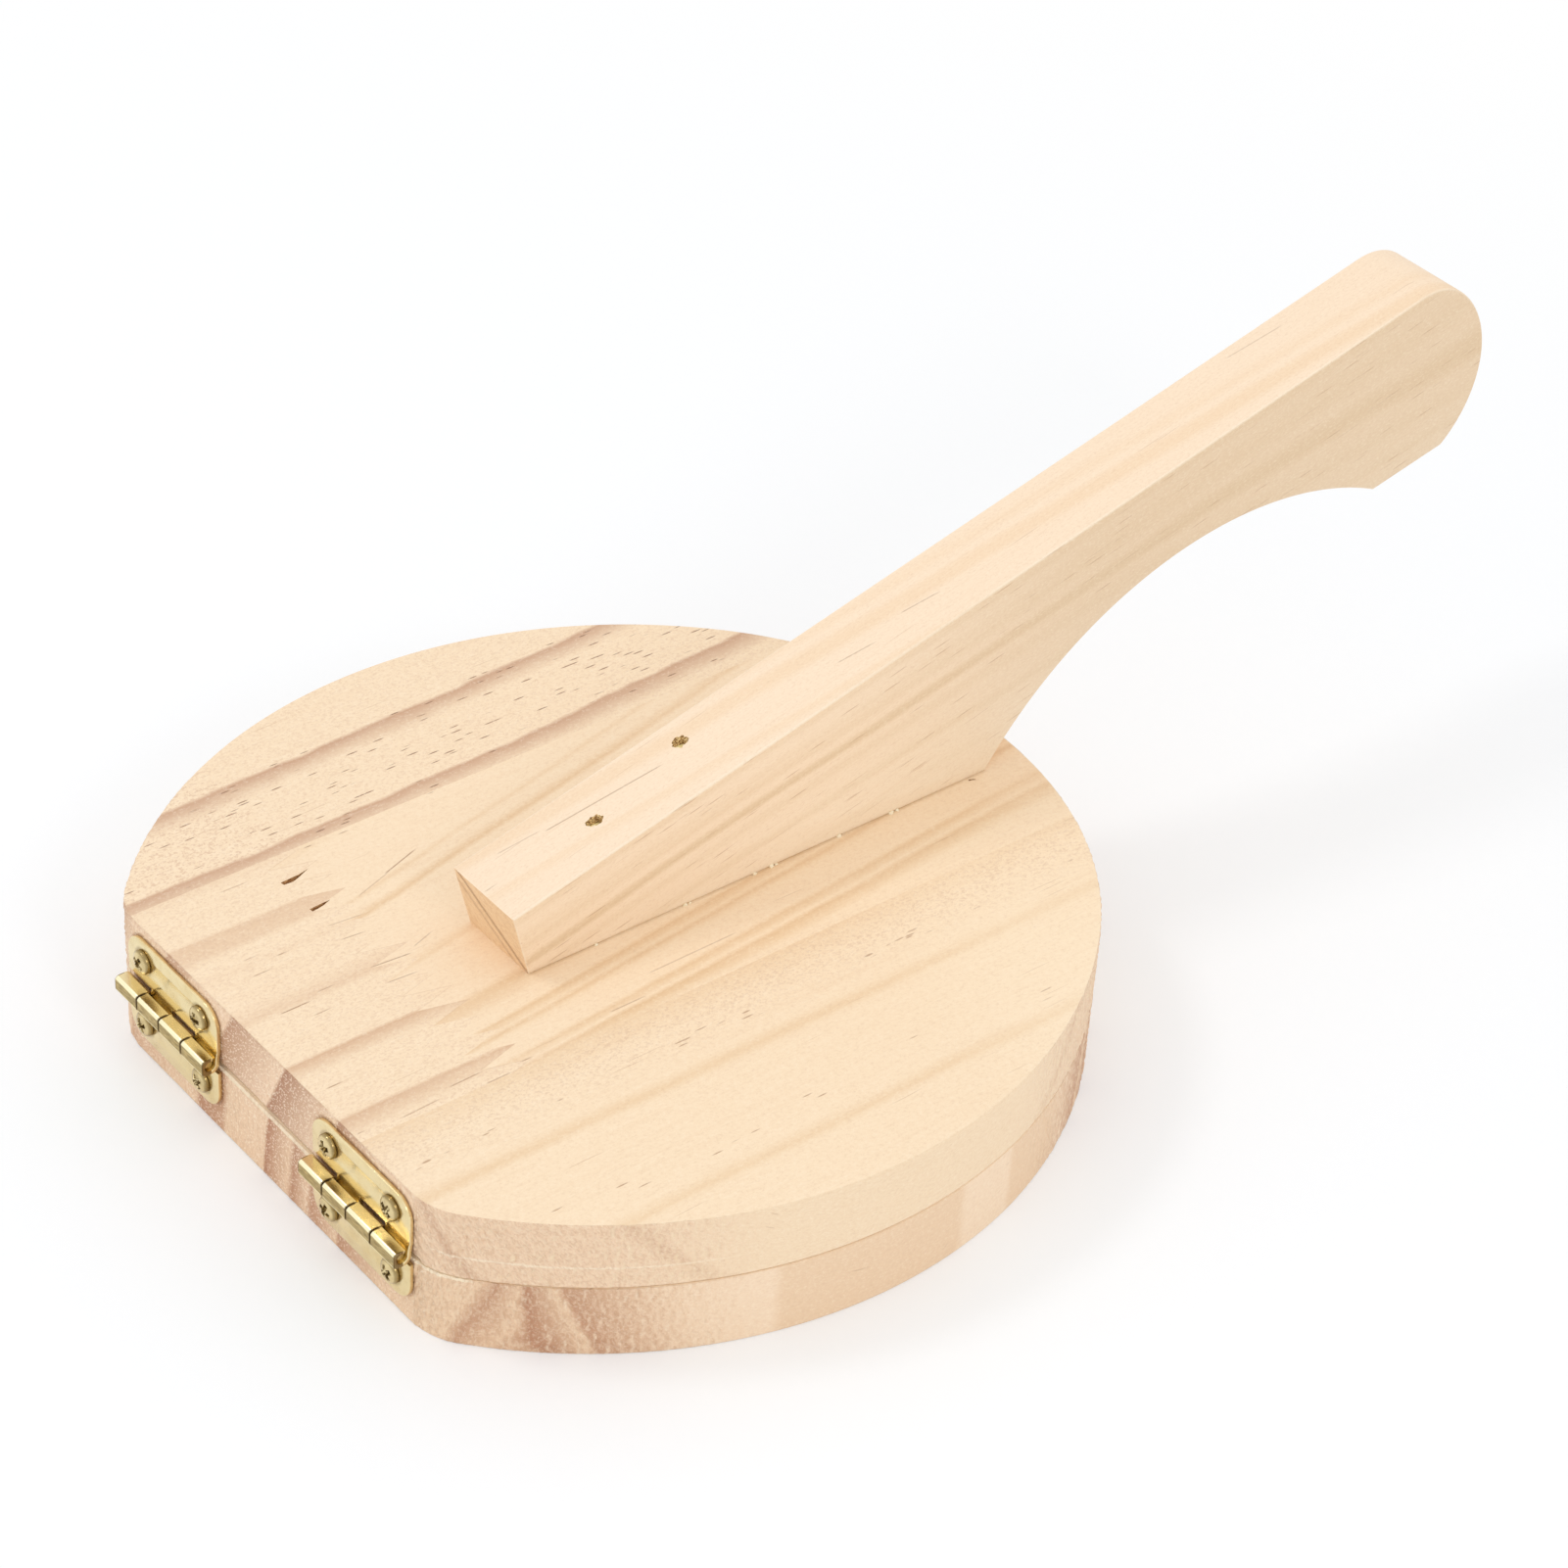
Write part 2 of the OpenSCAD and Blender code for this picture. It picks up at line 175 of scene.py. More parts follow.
def edge_profile(low_z, high_z, low_ease, high_ease, rows):
    """A board's edge from its lower to its upper face: (inset, z), with its two arrises eased."""
    turns = [radians(a) for a in range(0, 91, 18)]
    straight = high_z - low_z - low_ease - high_ease
    profile = [(low_ease + 0.8, low_z)]
    profile += [(low_ease * (1 - sin(a)), low_z + low_ease * (1 - cos(a))) for a in turns]
    profile += [(0, low_z + low_ease + straight * i / rows) for i in range(1, rows)]
    profile += [(high_ease * (1 - sin(a)), high_z - high_ease * (1 - cos(a))) for a in reversed(turns)]
    return profile + [(high_ease + 0.8, high_z)]


def round_board(name, low_z, high_z, eases, back_eases):
    """The board between two heights, its rim slightly torn. The arrises of the straight side are
    eased by other amounts than the round's, and less evenly."""
    rows = round((high_z - low_z - sum(eases)) / RIM_STEP)
    profile = edge_profile(low_z, high_z, *eases, rows)
    back_profile = edge_profile(low_z, high_z, *back_eases, rows)
    outline = board_outline()
    rings = []
    for (inset, z), (back_inset, back_z) in zip(profile, back_profile):
        ring = []
        for spot, normal in outline:
            torn = torn_fibre(Vector((spot.x, spot.y, z)), normal) * max(0, 1 - 4 * inset)
            share = max(0, -normal.y * 50 - 49)
            uneven = 1 + 0.4 * noise.noise(Vector((spot.x * 0.25, 5, 0)))
            into = inset + (back_inset * uneven - inset) * share + torn
            ring.append((*(spot - normal * into), z + (back_z - z) * share))
        rings.append(ring)
    return loft(name, rings)


class Field:
    """A number or colour that varies over a surface: one output of a material's nodes."""

    def __init__(self, tree, socket):
        self.tree = tree
        self.socket = socket

    def math(self, operation, *others):
        node = self.tree.nodes.new("ShaderNodeMath")
        node.operation = operation
        for slot, value in zip(node.inputs, (self, *others)):
            plug(value, slot)
        return Field(self.tree, node.outputs[0])

    def __add__(self, other):
        return self.math("ADD", other)

    def __sub__(self, other):
        return self.math("SUBTRACT", other)

    def __mul__(self, other):
        return self.math("MULTIPLY", other)

    def __truediv__(self, other):
        return self.math("DIVIDE", other)

    def __abs__(self):
        return self.math("ABSOLUTE")

    def ramp(self, start, end):
        """Rises smoothly from 0 at start to 1 at end. Start may be the larger."""
        node = self.tree.nodes.new("ShaderNodeMapRange")
        node.interpolation_type = "SMOOTHSTEP"
        plug(self, node.inputs["Value"])
        node.inputs["From Min"].default_value = start
        node.inputs["From Max"].default_value = end
        return Field(self.tree, node.outputs["Result"])

    def band(self, start, full, last, end):
        """Rises from 0 to 1 between the first two places, and falls back between the last two."""
        return self.ramp(start, full) * self.ramp(end, last)


def plug(value, slot):
    """Links a field to an input, or sets a plain value there."""
    if isinstance(value, Field):
        value.tree.links.new(value.socket, slot)
    else:
        slot.default_value = value


def combine(x, y, z):
    """The vector whose parts are the three fields."""
    node = x.tree.nodes.new("ShaderNodeCombineXYZ")
    for slot, value in zip(node.inputs, (x, y, z)):
        plug(value, slot)
    return Field(x.tree, node.outputs[0])


def mottle(x, y, z, detail=2.0, rough=0.5):
    """Noise between 0 and 1 at a place given by three fields."""
    node = x.tree.nodes.new("ShaderNodeTexNoise")
    node.inputs["Scale"].default_value = 1
    node.inputs["Detail"].default_value = detail
    node.inputs["Roughness"].default_value = rough
    plug(combine(x, y, z), node.inputs["Vector"])
    return Field(x.tree, node.outputs[0])


def flecks(x, y, z, share):
    """Small spots, one at most in each unit of space: share is how many units have one."""
    node = x.tree.nodes.new("ShaderNodeTexVoronoi")
    node.inputs["Scale"].default_value = 1
    plug(combine(x, y, z), node.inputs["Vector"])
    chance = x.tree.nodes.new("ShaderNodeSeparateColor")
    plug(Field(x.tree, node.outputs["Color"]), chance.inputs[0])
    near = Field(x.tree, node.outputs["Distance"]).ramp(0.3, 0.16)
    return near * Field(x.tree, chance.outputs[0]).ramp(1 - share, 1.001 - share)


def blend(amount, first, second):
    """Colour between two colours, each a field or a plain colour."""
    node = amount.tree.nodes.new("ShaderNodeMix")
    node.data_type = "RGBA"
    plug(amount, node.inputs[0])
    plug(first, node.inputs[6])
    plug(second, node.inputs[7])
    return Field(amount.tree, node.outputs[2])


def paint(red, green, blue):
    """A colour given as it looks, 0 to 255, in the linear values that a shader takes."""
    levels = [v / 255 for v in (red, green, blue)]
    return (*(v / 12.92 if v <= 0.04045 else ((v + 0.055) / 1.055) ** 2.4 for v in levels), 1)


def tint(colour, amount, other):
    """A colour with some of another laid over it, which is given as it looks."""
    return blend(amount, colour, paint(*other))


RING_REACH = 110
RING_EDGE = 0.5
RING_GAP = 2


def growth_rings(across, plain, late, rings):
    """Wood colour across the rings, between the plain wood and its darkest late wood. Each ring
    runs from one place to another in mm, with how dark it is at either side, from 0 to 1. A ring
    that starts within a small gap of the one before takes over its plain end."""
    stops = [(-RING_REACH, 0)]
    for low, high, dark_low, dark_high in rings:
        if dark_low:
            if low - stops[-1][0] < RING_GAP:
                stops.pop()
            stops.append((low - RING_EDGE, 0))
        stops.append((low, dark_low))
        stops.append((high, dark_high))
        if dark_high:
            stops.append((high + RING_EDGE, 0))
    stops.append((RING_REACH, 0))
    node = across.tree.nodes.new("ShaderNodeValToRGB")
    elements = node.color_ramp.elements
    while len(elements) < len(stops):
        elements.new(0.5)
    for element, (place, _) in zip(elements, stops):
        element.position = (place + RING_REACH) / (2 * RING_REACH)
    for element, (_, dark) in zip(elements, stops):
        element.color = paint(*(a + (b - a) * dark for a, b in zip(plain, late)))
    plug((across + RING_REACH) * (1 / (2 * RING_REACH)), node.inputs[0])
    return Field(across.tree, node.outputs[0])


def new_finish(name):
    """A material with its node tree and its one shader."""
    finish = bpy.data.materials.new(name)
    finish.use_nodes = True
    return finish, finish.node_tree, finish.node_tree.nodes["Principled BSDF"]


def place_in_mm(tree):
    """The three coordinates of a point of the piece, in mm, and its surface normal's parts."""
    spot = tree.nodes.new("ShaderNodeTexCoord")
    split = [tree.nodes.new("ShaderNodeSeparateXYZ") for _ in range(2)]
    tree.links.new(spot.outputs["Object"], split[0].inputs[0])
    tree.links.new(spot.outputs["Normal"], split[1].inputs[0])
    place = [Field(tree, out) * (1 / MM) for out in split[0].outputs]
    normal = [Field(tree, out) for out in split[1].outputs]
    return place, normal


def roughen(shader, height, distance, strength):
    """Relief too fine to be in the mesh, up to a distance in mm."""
    bump = height.tree.nodes.new("ShaderNodeBump")
    bump.inputs["Distance"].default_value = distance * MM
    bump.inputs["Strength"].default_value = strength
    plug(height, bump.inputs["Height"])
    plug(Field(height.tree, bump.outputs[0]), shader.inputs["Normal"])


def pine_surface(shader, face, sawn, across, along, depth, normal_y, end_grain, relief):
    """Fibres, pores, roughness and relief that all the pine shares. Face is the colour along
    the grain and sawn the colour of the rings on the end grain."""
    fibre = mottle(across * 2.4, along * 0.06, depth * 2.4, 4.0, 0.6)
    streak = mottle(across * 0.9, along * 0.02, depth * 0.9, 3.0, 0.6)
    sand = mottle(across * 1.9, along * 1.3, depth * 1.9, 3.0, 0.75)
    nap = mottle(across * 1.8 + depth * 0.5, along * 1.8, depth * 0.8, 2.0, 0.6)
    pores = mottle(across * 2.3 + 40, along * 2.3, depth * 2.3, 1.0)
    face = tint(face, streak.ramp(0.5, 0.75) * 0.13, (232, 196, 158))
    face = tint(face, fibre.ramp(0.5, 0.85) * 0.13, (222, 188, 150))
    face = tint(face, fibre.ramp(0.5, 0.15) * 0.15, (254, 240, 218))
    face = tint(face, sand.ramp(0.5, 0.72) * 0.26, (214, 180, 148))
    face = tint(face, sand.ramp(0.5, 0.3) * 0.3, (255, 240, 216))
    hair = flecks(across / 0.35, along / 16.0, depth / 2 + 21, 0.03)
    face = tint(face, hair * 0.4, (196, 158, 124))
    torn = end_grain * abs(normal_y).ramp(0.995, 0.96)
    # The nap's dark and pale tints follow the noise that also drives its bump: painted shade in the torn
    # pits and painted highlights on their crests.
    sawn = tint(sawn, nap.ramp(0.5, 0.6) * 0.22, (192, 148, 108))
    sawn = tint(sawn, nap.ramp(0.48, 0.38) * torn * 0.2, (255, 238, 206))
    specks = pores.ramp(0.56, 0.63) * (torn * -0.35 + 0.55)
    sawn = tint(sawn, specks, (255, 236, 212))
    plug(blend(end_grain, face, sawn), shader.inputs["Base Color"])
    plug(fibre * 0.15 + 0.5, shader.inputs["Roughness"])
    shader.inputs["Specular IOR Level"].default_value = 0.3
    roughen(shader, fibre * 0.2 + sand * 0.35 + nap * (torn * 4 + end_grain), 0.2, relief)


def splits(across, along, marks):
    """Thin dark lines along the grain. Each mark is its place across, its start and end along,
    how far it drifts per mm, and how dark it is."""
    dark = None
    for place, start, end, drift, tone in marks:
        line = abs(across - place - (along - start) * drift).ramp(0.21, 0.06)
        line = line * along.band(start - 0.3, start + 0.8, end - 1.8, end + 0.3) * tone
        dark = dark.math("MAXIMUM", line) if dark else line
    return dark


def leaf_contact_shadow(x, z, reach):
    """Painted shadow: a dark line round the hinge leaves on a board's edge, where they meet the wood."""
    side = abs(abs(x) - LEAF_MIDDLE) - (LEAF_HALF - LEAF_CORNER)
    rise = abs(z - PIN_Z) - (reach - LEAF_CORNER)
    side, rise = side.math("MAXIMUM", 0), rise.math("MAXIMUM", 0)
    return ((side * side + rise * rise).math("SQRT") - LEAF_CORNER).ramp(0.7, 0.1)


def torn_wood(name, dark, light):
    """Raw wood inside a torn or punched hole: fibrous, with dark brown painted in for the shade inside
    the hole.
    """
    finish, tree, shader = new_finish(name)
    (x, y, z), _ = place_in_mm(tree)
    fibre = mottle(x * 5.0, y * 1.5, z * 5.0, 3.0)
    plug(blend(fibre.ramp(0.4, 0.6), paint(*dark), paint(*light)), shader.inputs["Base Color"])
    shader.inputs["Roughness"].default_value = 0.85
    return finish


def base_pine():
    """Pine of the bottom board: steep rings, browner on the end grain."""
    finish, tree, shader = new_finish("base_pine")
    (x, y, z), normal = place_in_mm(tree)
    waver = mottle(x * 0.02, y * 0.012, z * 0.03, 1.0) - 0.5
    wobble = mottle(x * 0.2, y * 0.06, z * 0.2, 2.0) - 0.5
    slant = x.ramp(38, 47) * 0.25 - x.ramp(52, 66) * 0.6 + 0.13
    across = x - (z - base_high.z) * slant + waver * 2.0 + wobble * 1.4
    colour = growth_rings(across, (248, 222, 190), (232, 196, 160), [
        (-62, -47, 1, 0), (-46, -23, 0.5, 0), (-22, -15, 1, 0), (-14, -1.5, 0.5, 0), (0, 1.5, 1, 0),
        (14, 22, 1, 0), (23, 37, 0.5, 0), (57, 60, 1, 0), (65, 75, 0.5, 0),
    ])
    sawn = growth_rings(across, (238, 205, 171), (184, 132, 102), [
        (-62, -47, 0.4, 0), (-46, -28, 0.4, 0), (-22, -14, 0.9, 0.6), (0, 7, 1, 0), (8, 13, 1, 0),
        (14, 22, 0.9, 0), (23, 36, 0.8, 0), (57, 60, 0.8, 0), (61, 64, 0.9, 0), (65, 75, 0.7, 0),
    ])
    canals = flecks(across / 0.7, y / 5.5, z / 1.5, 0.05)
    colour = tint(colour, canals * 0.6, (176, 132, 94))
    in_rim = abs(normal[0]).ramp(0.4, 0.7)
    brown = (y.band(-27, -24, 12, 15) + y.band(26, 28, 40, 46)) * in_rim
    colour = tint(colour, in_rim * 0.8, (243, 217, 188))
    colour = tint(colour, brown * 0.6, (229, 195, 158))
    end_grain = abs(normal[1]).ramp(0.25, 0.6)
    # Painted highlight: a pale band along the top edge of the hinge side, where its eased arris catches
    # light below the lid.
    arris_highlight = z.ramp(base_high.z - 0.8, base_high.z - 0.6) * y.ramp(BOARD_BACK + 6, BOARD_BACK + 4)
    sawn = tint(sawn, arris_highlight * 0.85, (255, 238, 208))
    colour = tint(colour, arris_highlight * 0.85, (255, 238, 208))
    # Painted contact shadow round the hinge leaves on the hinge edge.
    leaf_shadow = leaf_contact_shadow(x, z, PIN_Z - leaf_low.z) * normal[1].ramp(-0.9, -0.97)
    sawn = tint(sawn, leaf_shadow * 0.5, (140, 96, 66))
    pine_surface(shader, colour, sawn, across, y, z, normal[1], end_grain, 0.5)
    return finish


def pilot_holes(row):
    """Rods that drill the four screw holes of one board's hinge edge."""
    rods = []
    for hand in ("left", "right"):
        for where in ("outer", "inner"):
            low, high = (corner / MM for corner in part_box(f"{hand}_{row}_screw_{where}"))
            x, z = (low.x + high.x) / 2, (low.z + high.z) / 2
            rods.append(rod((x, BOARD_BACK - 1, z), (x, high.y + 0.05, z), PILOT_R))
    return rods


bottom_board = round_board("bottom_board_wood", base_low.z, base_high.z, (0.4, 0.4), (0.4, 0.7))
bottom_board.data.materials.append(base_pine())
# Its dark brown is painted shade inside the pilot holes and tears.
torn = torn_wood("torn_wood", (150, 104, 60), (218, 176, 122))
bottom_board.data.materials.append(torn)
carve(bottom_board, pilot_holes("lower"), 1)
shade(bottom_board)
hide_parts("bottom_board")
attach(bottom_board, "base")

# ---- lower leaves ----
# Half of each butt hinge: a blank stamped from brass-plated steel sheet, with two tongues that
# are rolled round the pin and pressed square. Two screws hold it to the bottom board's edge.

LEAF_T = 0.9
LEAF_HOLE_R = 1.4
SHEET_ROUND = 0.17
ROUND_SIDES = 32
KNUCKLES = 4
KNUCKLE_GAP = 0.25
KNUCKLE_SLOT = 2.3
BORE_R = 1.05
PRESSED_R = 1.7
KNUCKLE_SQUARE = 0.1
ROLL_ANGLE = 290
screw_low, screw_high = (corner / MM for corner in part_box("right_upper_screw_outer"))
SCREW_SIDE = abs((screw_low.x + screw_high.x) / 2 - LEAF_MIDDLE)
SCREW_RISE = (screw_low.z + screw_high.z) / 2 - PIN_Z


def weld(mesh, reach):
    """Joins points that lie within a reach in mm, and turns all faces outwards."""
    body = bmesh.new()
    body.from_mesh(mesh)
    bmesh.ops.remove_doubles(body, verts=body.verts, dist=reach * MM)
    bmesh.ops.recalc_face_normals(body, faces=body.faces)
    body.to_mesh(mesh)
    body.free()


def stamp(name, outlines, thickness, edge):
    """A flat blank in XY cut from sheet: the first outline is its edge, any others are holes.
    The sheet lies half above and half below z = 0, and its cut edges are rounded."""
    shape = bpy.data.curves.new(name, "CURVE")
    shape.dimensions = "2D"
    shape.fill_mode = "BOTH"
    shape.extrude = (thickness / 2 - edge) * MM
    shape.bevel_depth = edge * MM
    shape.bevel_resolution = 2
    shape.offset = -edge * MM
    for outline in outlines:
        loop = shape.splines.new("POLY")
        loop.points.add(len(outline) - 1)
        for point, (x, y) in zip(loop.points, outline):
            point.co = (x * MM, y * MM, 0, 1)
        loop.use_cyclic_u = True
    flat = new_object(name, shape)
    graph = bpy.context.evaluated_depsgraph_get()
    mesh = bpy.data.meshes.new_from_object(flat.evaluated_get(graph))
    bpy.data.objects.remove(flat)
    weld(mesh, 0.002)
    return new_object(name, mesh)


def leaf_blank(first, reach):
    """Outline of a leaf in (x, distance from the pin), with its tongues at every second knuckle."""
    pitch = 2 * LEAF_HALF / KNUCKLES
    tongue_end = -radians(ROLL_ANGLE) * (BORE_R + LEAF_T / 2)
    edge = [(-LEAF_HALF, KNUCKLE_SLOT)]
    for i in range(first, KNUCKLES, 2):
        start = -LEAF_HALF + i * pitch + KNUCKLE_GAP / 2
        end = start + pitch - KNUCKLE_GAP
        edge += [(start, KNUCKLE_SLOT), (start, tongue_end), (end, tongue_end), (end, KNUCKLE_SLOT)]
    edge.append((LEAF_HALF, KNUCKLE_SLOT))
    for centre_x, turn in ((LEAF_HALF - LEAF_CORNER, 0), (LEAF_CORNER - LEAF_HALF, 90)):
        for a in range(0, 91, 9):
            spot = radians(turn + a)
            x = centre_x + LEAF_CORNER * cos(spot)
            edge.append((x, reach - LEAF_CORNER + LEAF_CORNER * sin(spot)))
    return edge


def roll_leaf(name, node, row, first):
    """A leaf with its tongues rolled, standing up from the pin for row 1 and down for row -1."""
    low, high = (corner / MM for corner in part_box(node))
    middle = (low.x + high.x) / 2
    reach = high.z - PIN_Z if row > 0 else PIN_Z - low.z
    hand = node.split("_")[0]
    outlines = [leaf_blank(first, reach)]
    for where in ("outer", "inner"):
        step = "upper" if row > 0 else "lower"
        ends = [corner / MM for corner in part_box(f"{hand}_{step}_screw_{where}")]
        x, z = (ends[0].x + ends[1].x) / 2 - middle, row * ((ends[0].z + ends[1].z) / 2 - PIN_Z)
        outlines.append(circle(LEAF_HOLE_R, ROUND_SIDES, x, z))
    leaf = stamp(name, outlines, LEAF_T, SHEET_ROUND)
    mid_r = BORE_R + LEAF_T / 2
    sheet = bmesh.new()
    sheet.from_mesh(leaf.data)
    cuts = [KNUCKLE_SLOT * i / 8 for i in range(1, 9)]
    cuts += [-radians(a) * mid_r for a in range(0, ROLL_ANGLE, 6)]
    for cut in cuts:
        everything = sheet.verts[:] + sheet.edges[:] + sheet.faces[:]
        spot = (0, cut * MM, 0)
        bmesh.ops.bisect_plane(sheet, geom=everything, plane_co=spot, plane_no=(0, 1, 0), dist=1e-8)
    back = high.y - PIN_Y
    for vertex in sheet.verts:
        x, s, n = vertex.co / MM
        if s >= 0:
            rise = min(1, s / (KNUCKLE_SLOT + 0.3))
            lean = rise * rise * (3 - 2 * rise)
            y, z = mid_r + (back - LEAF_T / 2 - mid_r) * lean - n, s
        else:
            turn = s / mid_r
            radius = mid_r - n
            if radius > mid_r and cos(turn) < 0:
                radius *= 1 + KNUCKLE_SQUARE * sin(2 * turn) ** 2
            y, z = radius * cos(turn), radius * sin(turn)
            y = max(y, -PRESSED_R)
            z = max(min(z, PRESSED_R), -PRESSED_R)
        vertex.co = Vector((middle + x, PIN_Y + y, PIN_Z + row * z)) * MM
    bmesh.ops.recalc_face_normals(sheet, faces=sheet.faces)
    sheet.to_mesh(leaf.data)
    sheet.free()
    shade(leaf, 40)
    return leaf


def brass(name, bright, dull, relief, rolled=False, screwed=False, sunk=False):
    """Thin brass plate on steel, slightly uneven. Rolled leaves are matt where their knuckles were
    pressed, and those flats are painted dark olive for the dark reflection they show. The knuckles'
    corners get painted highlights, and the seams and the leaf round each screw get painted shade."""
    finish, tree, shader = new_finish(name)
    (x, y, z), _ = place_in_mm(tree)
    cloud = mottle(x * 0.35, y * 0.35, z * 0.35, 3.0)
    grit = mottle(x * 4.0, y * 4.0, z * 4.0, 2.0)
    rough = cloud * 0.3 + 0.06
    colour = blend(cloud.ramp(0.4, 0.75) * 0.6, paint(*bright), paint(*dull))
    colour = tint(colour, grit.ramp(0.6, 0.8) * 0.3, (150, 126, 78))
    side = abs(abs(x) - LEAF_MIDDLE) - SCREW_SIDE
    rise = abs(z - PIN_Z) - SCREW_RISE
    from_screw = (side * side + rise * rise).math("SQRT")
    if rolled:
        pressed = y.ramp(PIN_Y - PRESSED_R + 0.25, PIN_Y - PRESSED_R + 0.03)
        brushed = mottle(x * 0.6, y, z * 5.0, 2.0)
        # The pressed front flats are painted dark olive, for the dark reflection they show.
        front = blend(brushed.ramp(0.35, 0.65), paint(140, 118, 70), paint(206, 184, 128))
        colour = blend(pressed * 0.9, colour, front)
        rough = rough + pressed * 0.3
        barrel = ((y - PIN_Y) * (y - PIN_Y) + (z - PIN_Z) * (z - PIN_Z)).math("SQRT")
        in_knuckle = barrel.ramp(2.45, 2.3) * y.ramp(PIN_Y + 0.4, PIN_Y)
        # Painted highlight on the knuckles' rounded corners.
        colour = tint(colour, barrel.ramp(1.99, 2.06) * in_knuckle, (255, 246, 206))
        # Painted shade in the gaps between the knuckles.
        pitch = 2 * LEAF_HALF / KNUCKLES
        from_seam = (abs(x) - LEAF_MIDDLE).math("PINGPONG", pitch / 2)
        colour = tint(colour, from_seam.ramp(0.42, 0.2) * in_knuckle * 0.85, (112, 88, 46))
        # Painted shadow of each screw head on the leaf round it.
        colour = tint(colour, from_screw.ramp(3.2, 2.45) * 0.6, (146, 120, 66))
    if sunk:
        rough = rough + 0.3
    if screwed:
        # Painted shade round the rim of each screw head.
        colour = tint(colour, from_screw.ramp(1.9, 2.35) * 0.7, (128, 104, 58))
    plug(colour, shader.inputs["Base Color"])
    shader.inputs["Metallic"].default_value = 0.1 if sunk else 1
    plug(rough, shader.inputs["Roughness"])
    roughen(shader, grit * 0.6 + cloud * 0.8, 0.05, relief)
    return finish


leaf_brass = brass("leaf_brass", (238, 220, 172), (222, 198, 142), 0.6, rolled=True)
for hand in ("left", "right"):
    lower_leaf = roll_leaf(f"{hand}_lower_leaf_brass", f"{hand}_lower_leaf", -1, 0)
    lower_leaf.data.materials.append(leaf_brass)
    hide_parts(f"{hand}_lower_leaf")
    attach(lower_leaf, "base")

# ---- hinge pins ----
# A length of drawn steel wire in each hinge, plated like the leaves. Its ends are dressed round
# and stay just inside the outer knuckles.

PIN_R = 1
PIN_RECESS = 0.7
for hand in ("left", "right"):
    low, high = (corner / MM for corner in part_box(f"{hand}_hinge_pin"))
    rings = []
    start, end = low.x + PIN_RECESS, high.x - PIN_RECESS
    for x, radius in [
        (start, 0.55), (start + 0.1, 0.8), (start + 0.3, 0.95), (start + 0.5, PIN_R),
        (end - 0.5, PIN_R), (end - 0.3, 0.95), (end - 0.1, 0.8), (end, 0.55),
    ]:
        rings.append([(x, y, z) for y, z in circle(radius, ROUND_SIDES, PIN_Y, PIN_Z)])
    pin = loft(f"{hand}_pin_wire", rings)
    shade(pin)
    pin.data.materials.append(brass("pin_brass", (196, 172, 112), (160, 136, 84), 0.3))
    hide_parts(f"{hand}_hinge_pin")
    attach(pin, "base")

# ---- lid board ----
# The plate that swings down and presses the dough. It is glued up from three pine strips, and
# the middle strip is finger-jointed near the hinges, where two joints have torn open. A small
# nick lies beside the handle's foot.

lid_low, lid_high = (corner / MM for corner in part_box("lid_board"))
LID_LEAF_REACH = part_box("left_upper_leaf")[1].z / MM - PIN_Z
handle_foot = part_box("handle")[1].x / MM + 0.1
STRIP_SEAMS = (28.5, -45.2)
FINGER_TIP_Y = -38.5
FINGER_LENGTH = 9
FINGER_PITCH = 4.8
FINGER_X = 22.5
FAN_Y = -38
FAN_LEAN = 0.161
FAN_SPREAD = 0.0029
TEAR_DEPTH = 0.9
NAIL_WIDE = 1.4
LID_SPLITS = [
    (13.8, -71.9, -68.2, 0, 0.8), (26.4, -74.2, -72, 0, 0.6), (27.3, -65.6, -57.2, -0.04, 0.6),
    (25.4, -54.4, -47.5, -0.02, 0.7), (28.3, -48.8, -43, 0, 0.6), (-3.6, -63, -59, 0, 0.6),
    (-7.2, -67.5, -61, 0, 0.9), (-3.7, -47.5, -41, 0.07, 0.6), (-8.9, -47.5, -39, 0.09, 0.8),
    (-8.6, -59, -55, 0, 0.5), (-18.5, -66, -62, 0, 0.7), (-18.3, -47.5, -42.5, 0.1, 0.6),
    (-21, -59.4, -56.9, 0, 0.8), (-23.1, -65, -62, 0, 0.5), (-22.9, -47.5, -40, 0.1, 0.4),
    (-9.4, -38, -32.5, -0.33, 0.5), (-26.9, -38, -29, -0.33, 0.4),
    (-29.6, -30.5, -21.5, -0.33, 0.85), (27, -40.6, -37.8, 0, 0.7), (25.1, -20, -12, 0, 0.5),
    (-41.8, -58, -52, 0.02, 0.5), (20.4, -8, 12, -0.01, 0.4),
]
TEARS = [
    [(-28.75, -47.6), (-27.8, -47.5), (-27.95, -46.0), (-28.3, -44.4), (-29.0, -42.5), (-28.95, -44.6)],
    [(-38.1, -47.8), (-37.1, -47.6), (-37.0, -45.4), (-37.6, -43.6), (-38.9, -40.6), (-38.3, -43.4)],
    [(8.95, 76.2), (9.35, 76.1), (9.5, 76.9), (10.0, 77.8), (9.5, 77.6), (9.1, 76.9)],
]


def prism(outline, low_z, high_z, shrink=1.0):
    """An upright prism over an outline. Its lower end is drawn in towards the middle."""
    middle = sum((Vector(p) for p in outline), Vector((0, 0))) / len(outline)
    lower = [(*(middle + (Vector(p) - middle) * shrink), low_z) for p in outline]
    return loft("cutter", [lower, [(*p, high_z) for p in outline]])


def nail_path(node, play, head=False):
    """A square rod round a nail's wire or its head, used to clear its way through the wood."""
    low, high = (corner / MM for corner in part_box(node))
    x, y = (low.x + high.x) / 2, (low.y + high.y) / 2
    wide = (high.x - low.x) / 2 + play
    deep = (high.y - low.y if head else NAIL_WIDE) / 2 + play
    outline = [(x - wide, y - deep), (x + wide, y - deep), (x + wide, y + deep), (x - wide, y + deep)]
    return prism(outline, (high.z - 1 if head else low.z) - play, high.z + 0.9)


LID_PLAIN = (248, 224, 192)
HONEY_LATE = (229, 193, 149)
PINK_LATE = (219, 182, 148)
RUST_LATE = (200, 158, 128)


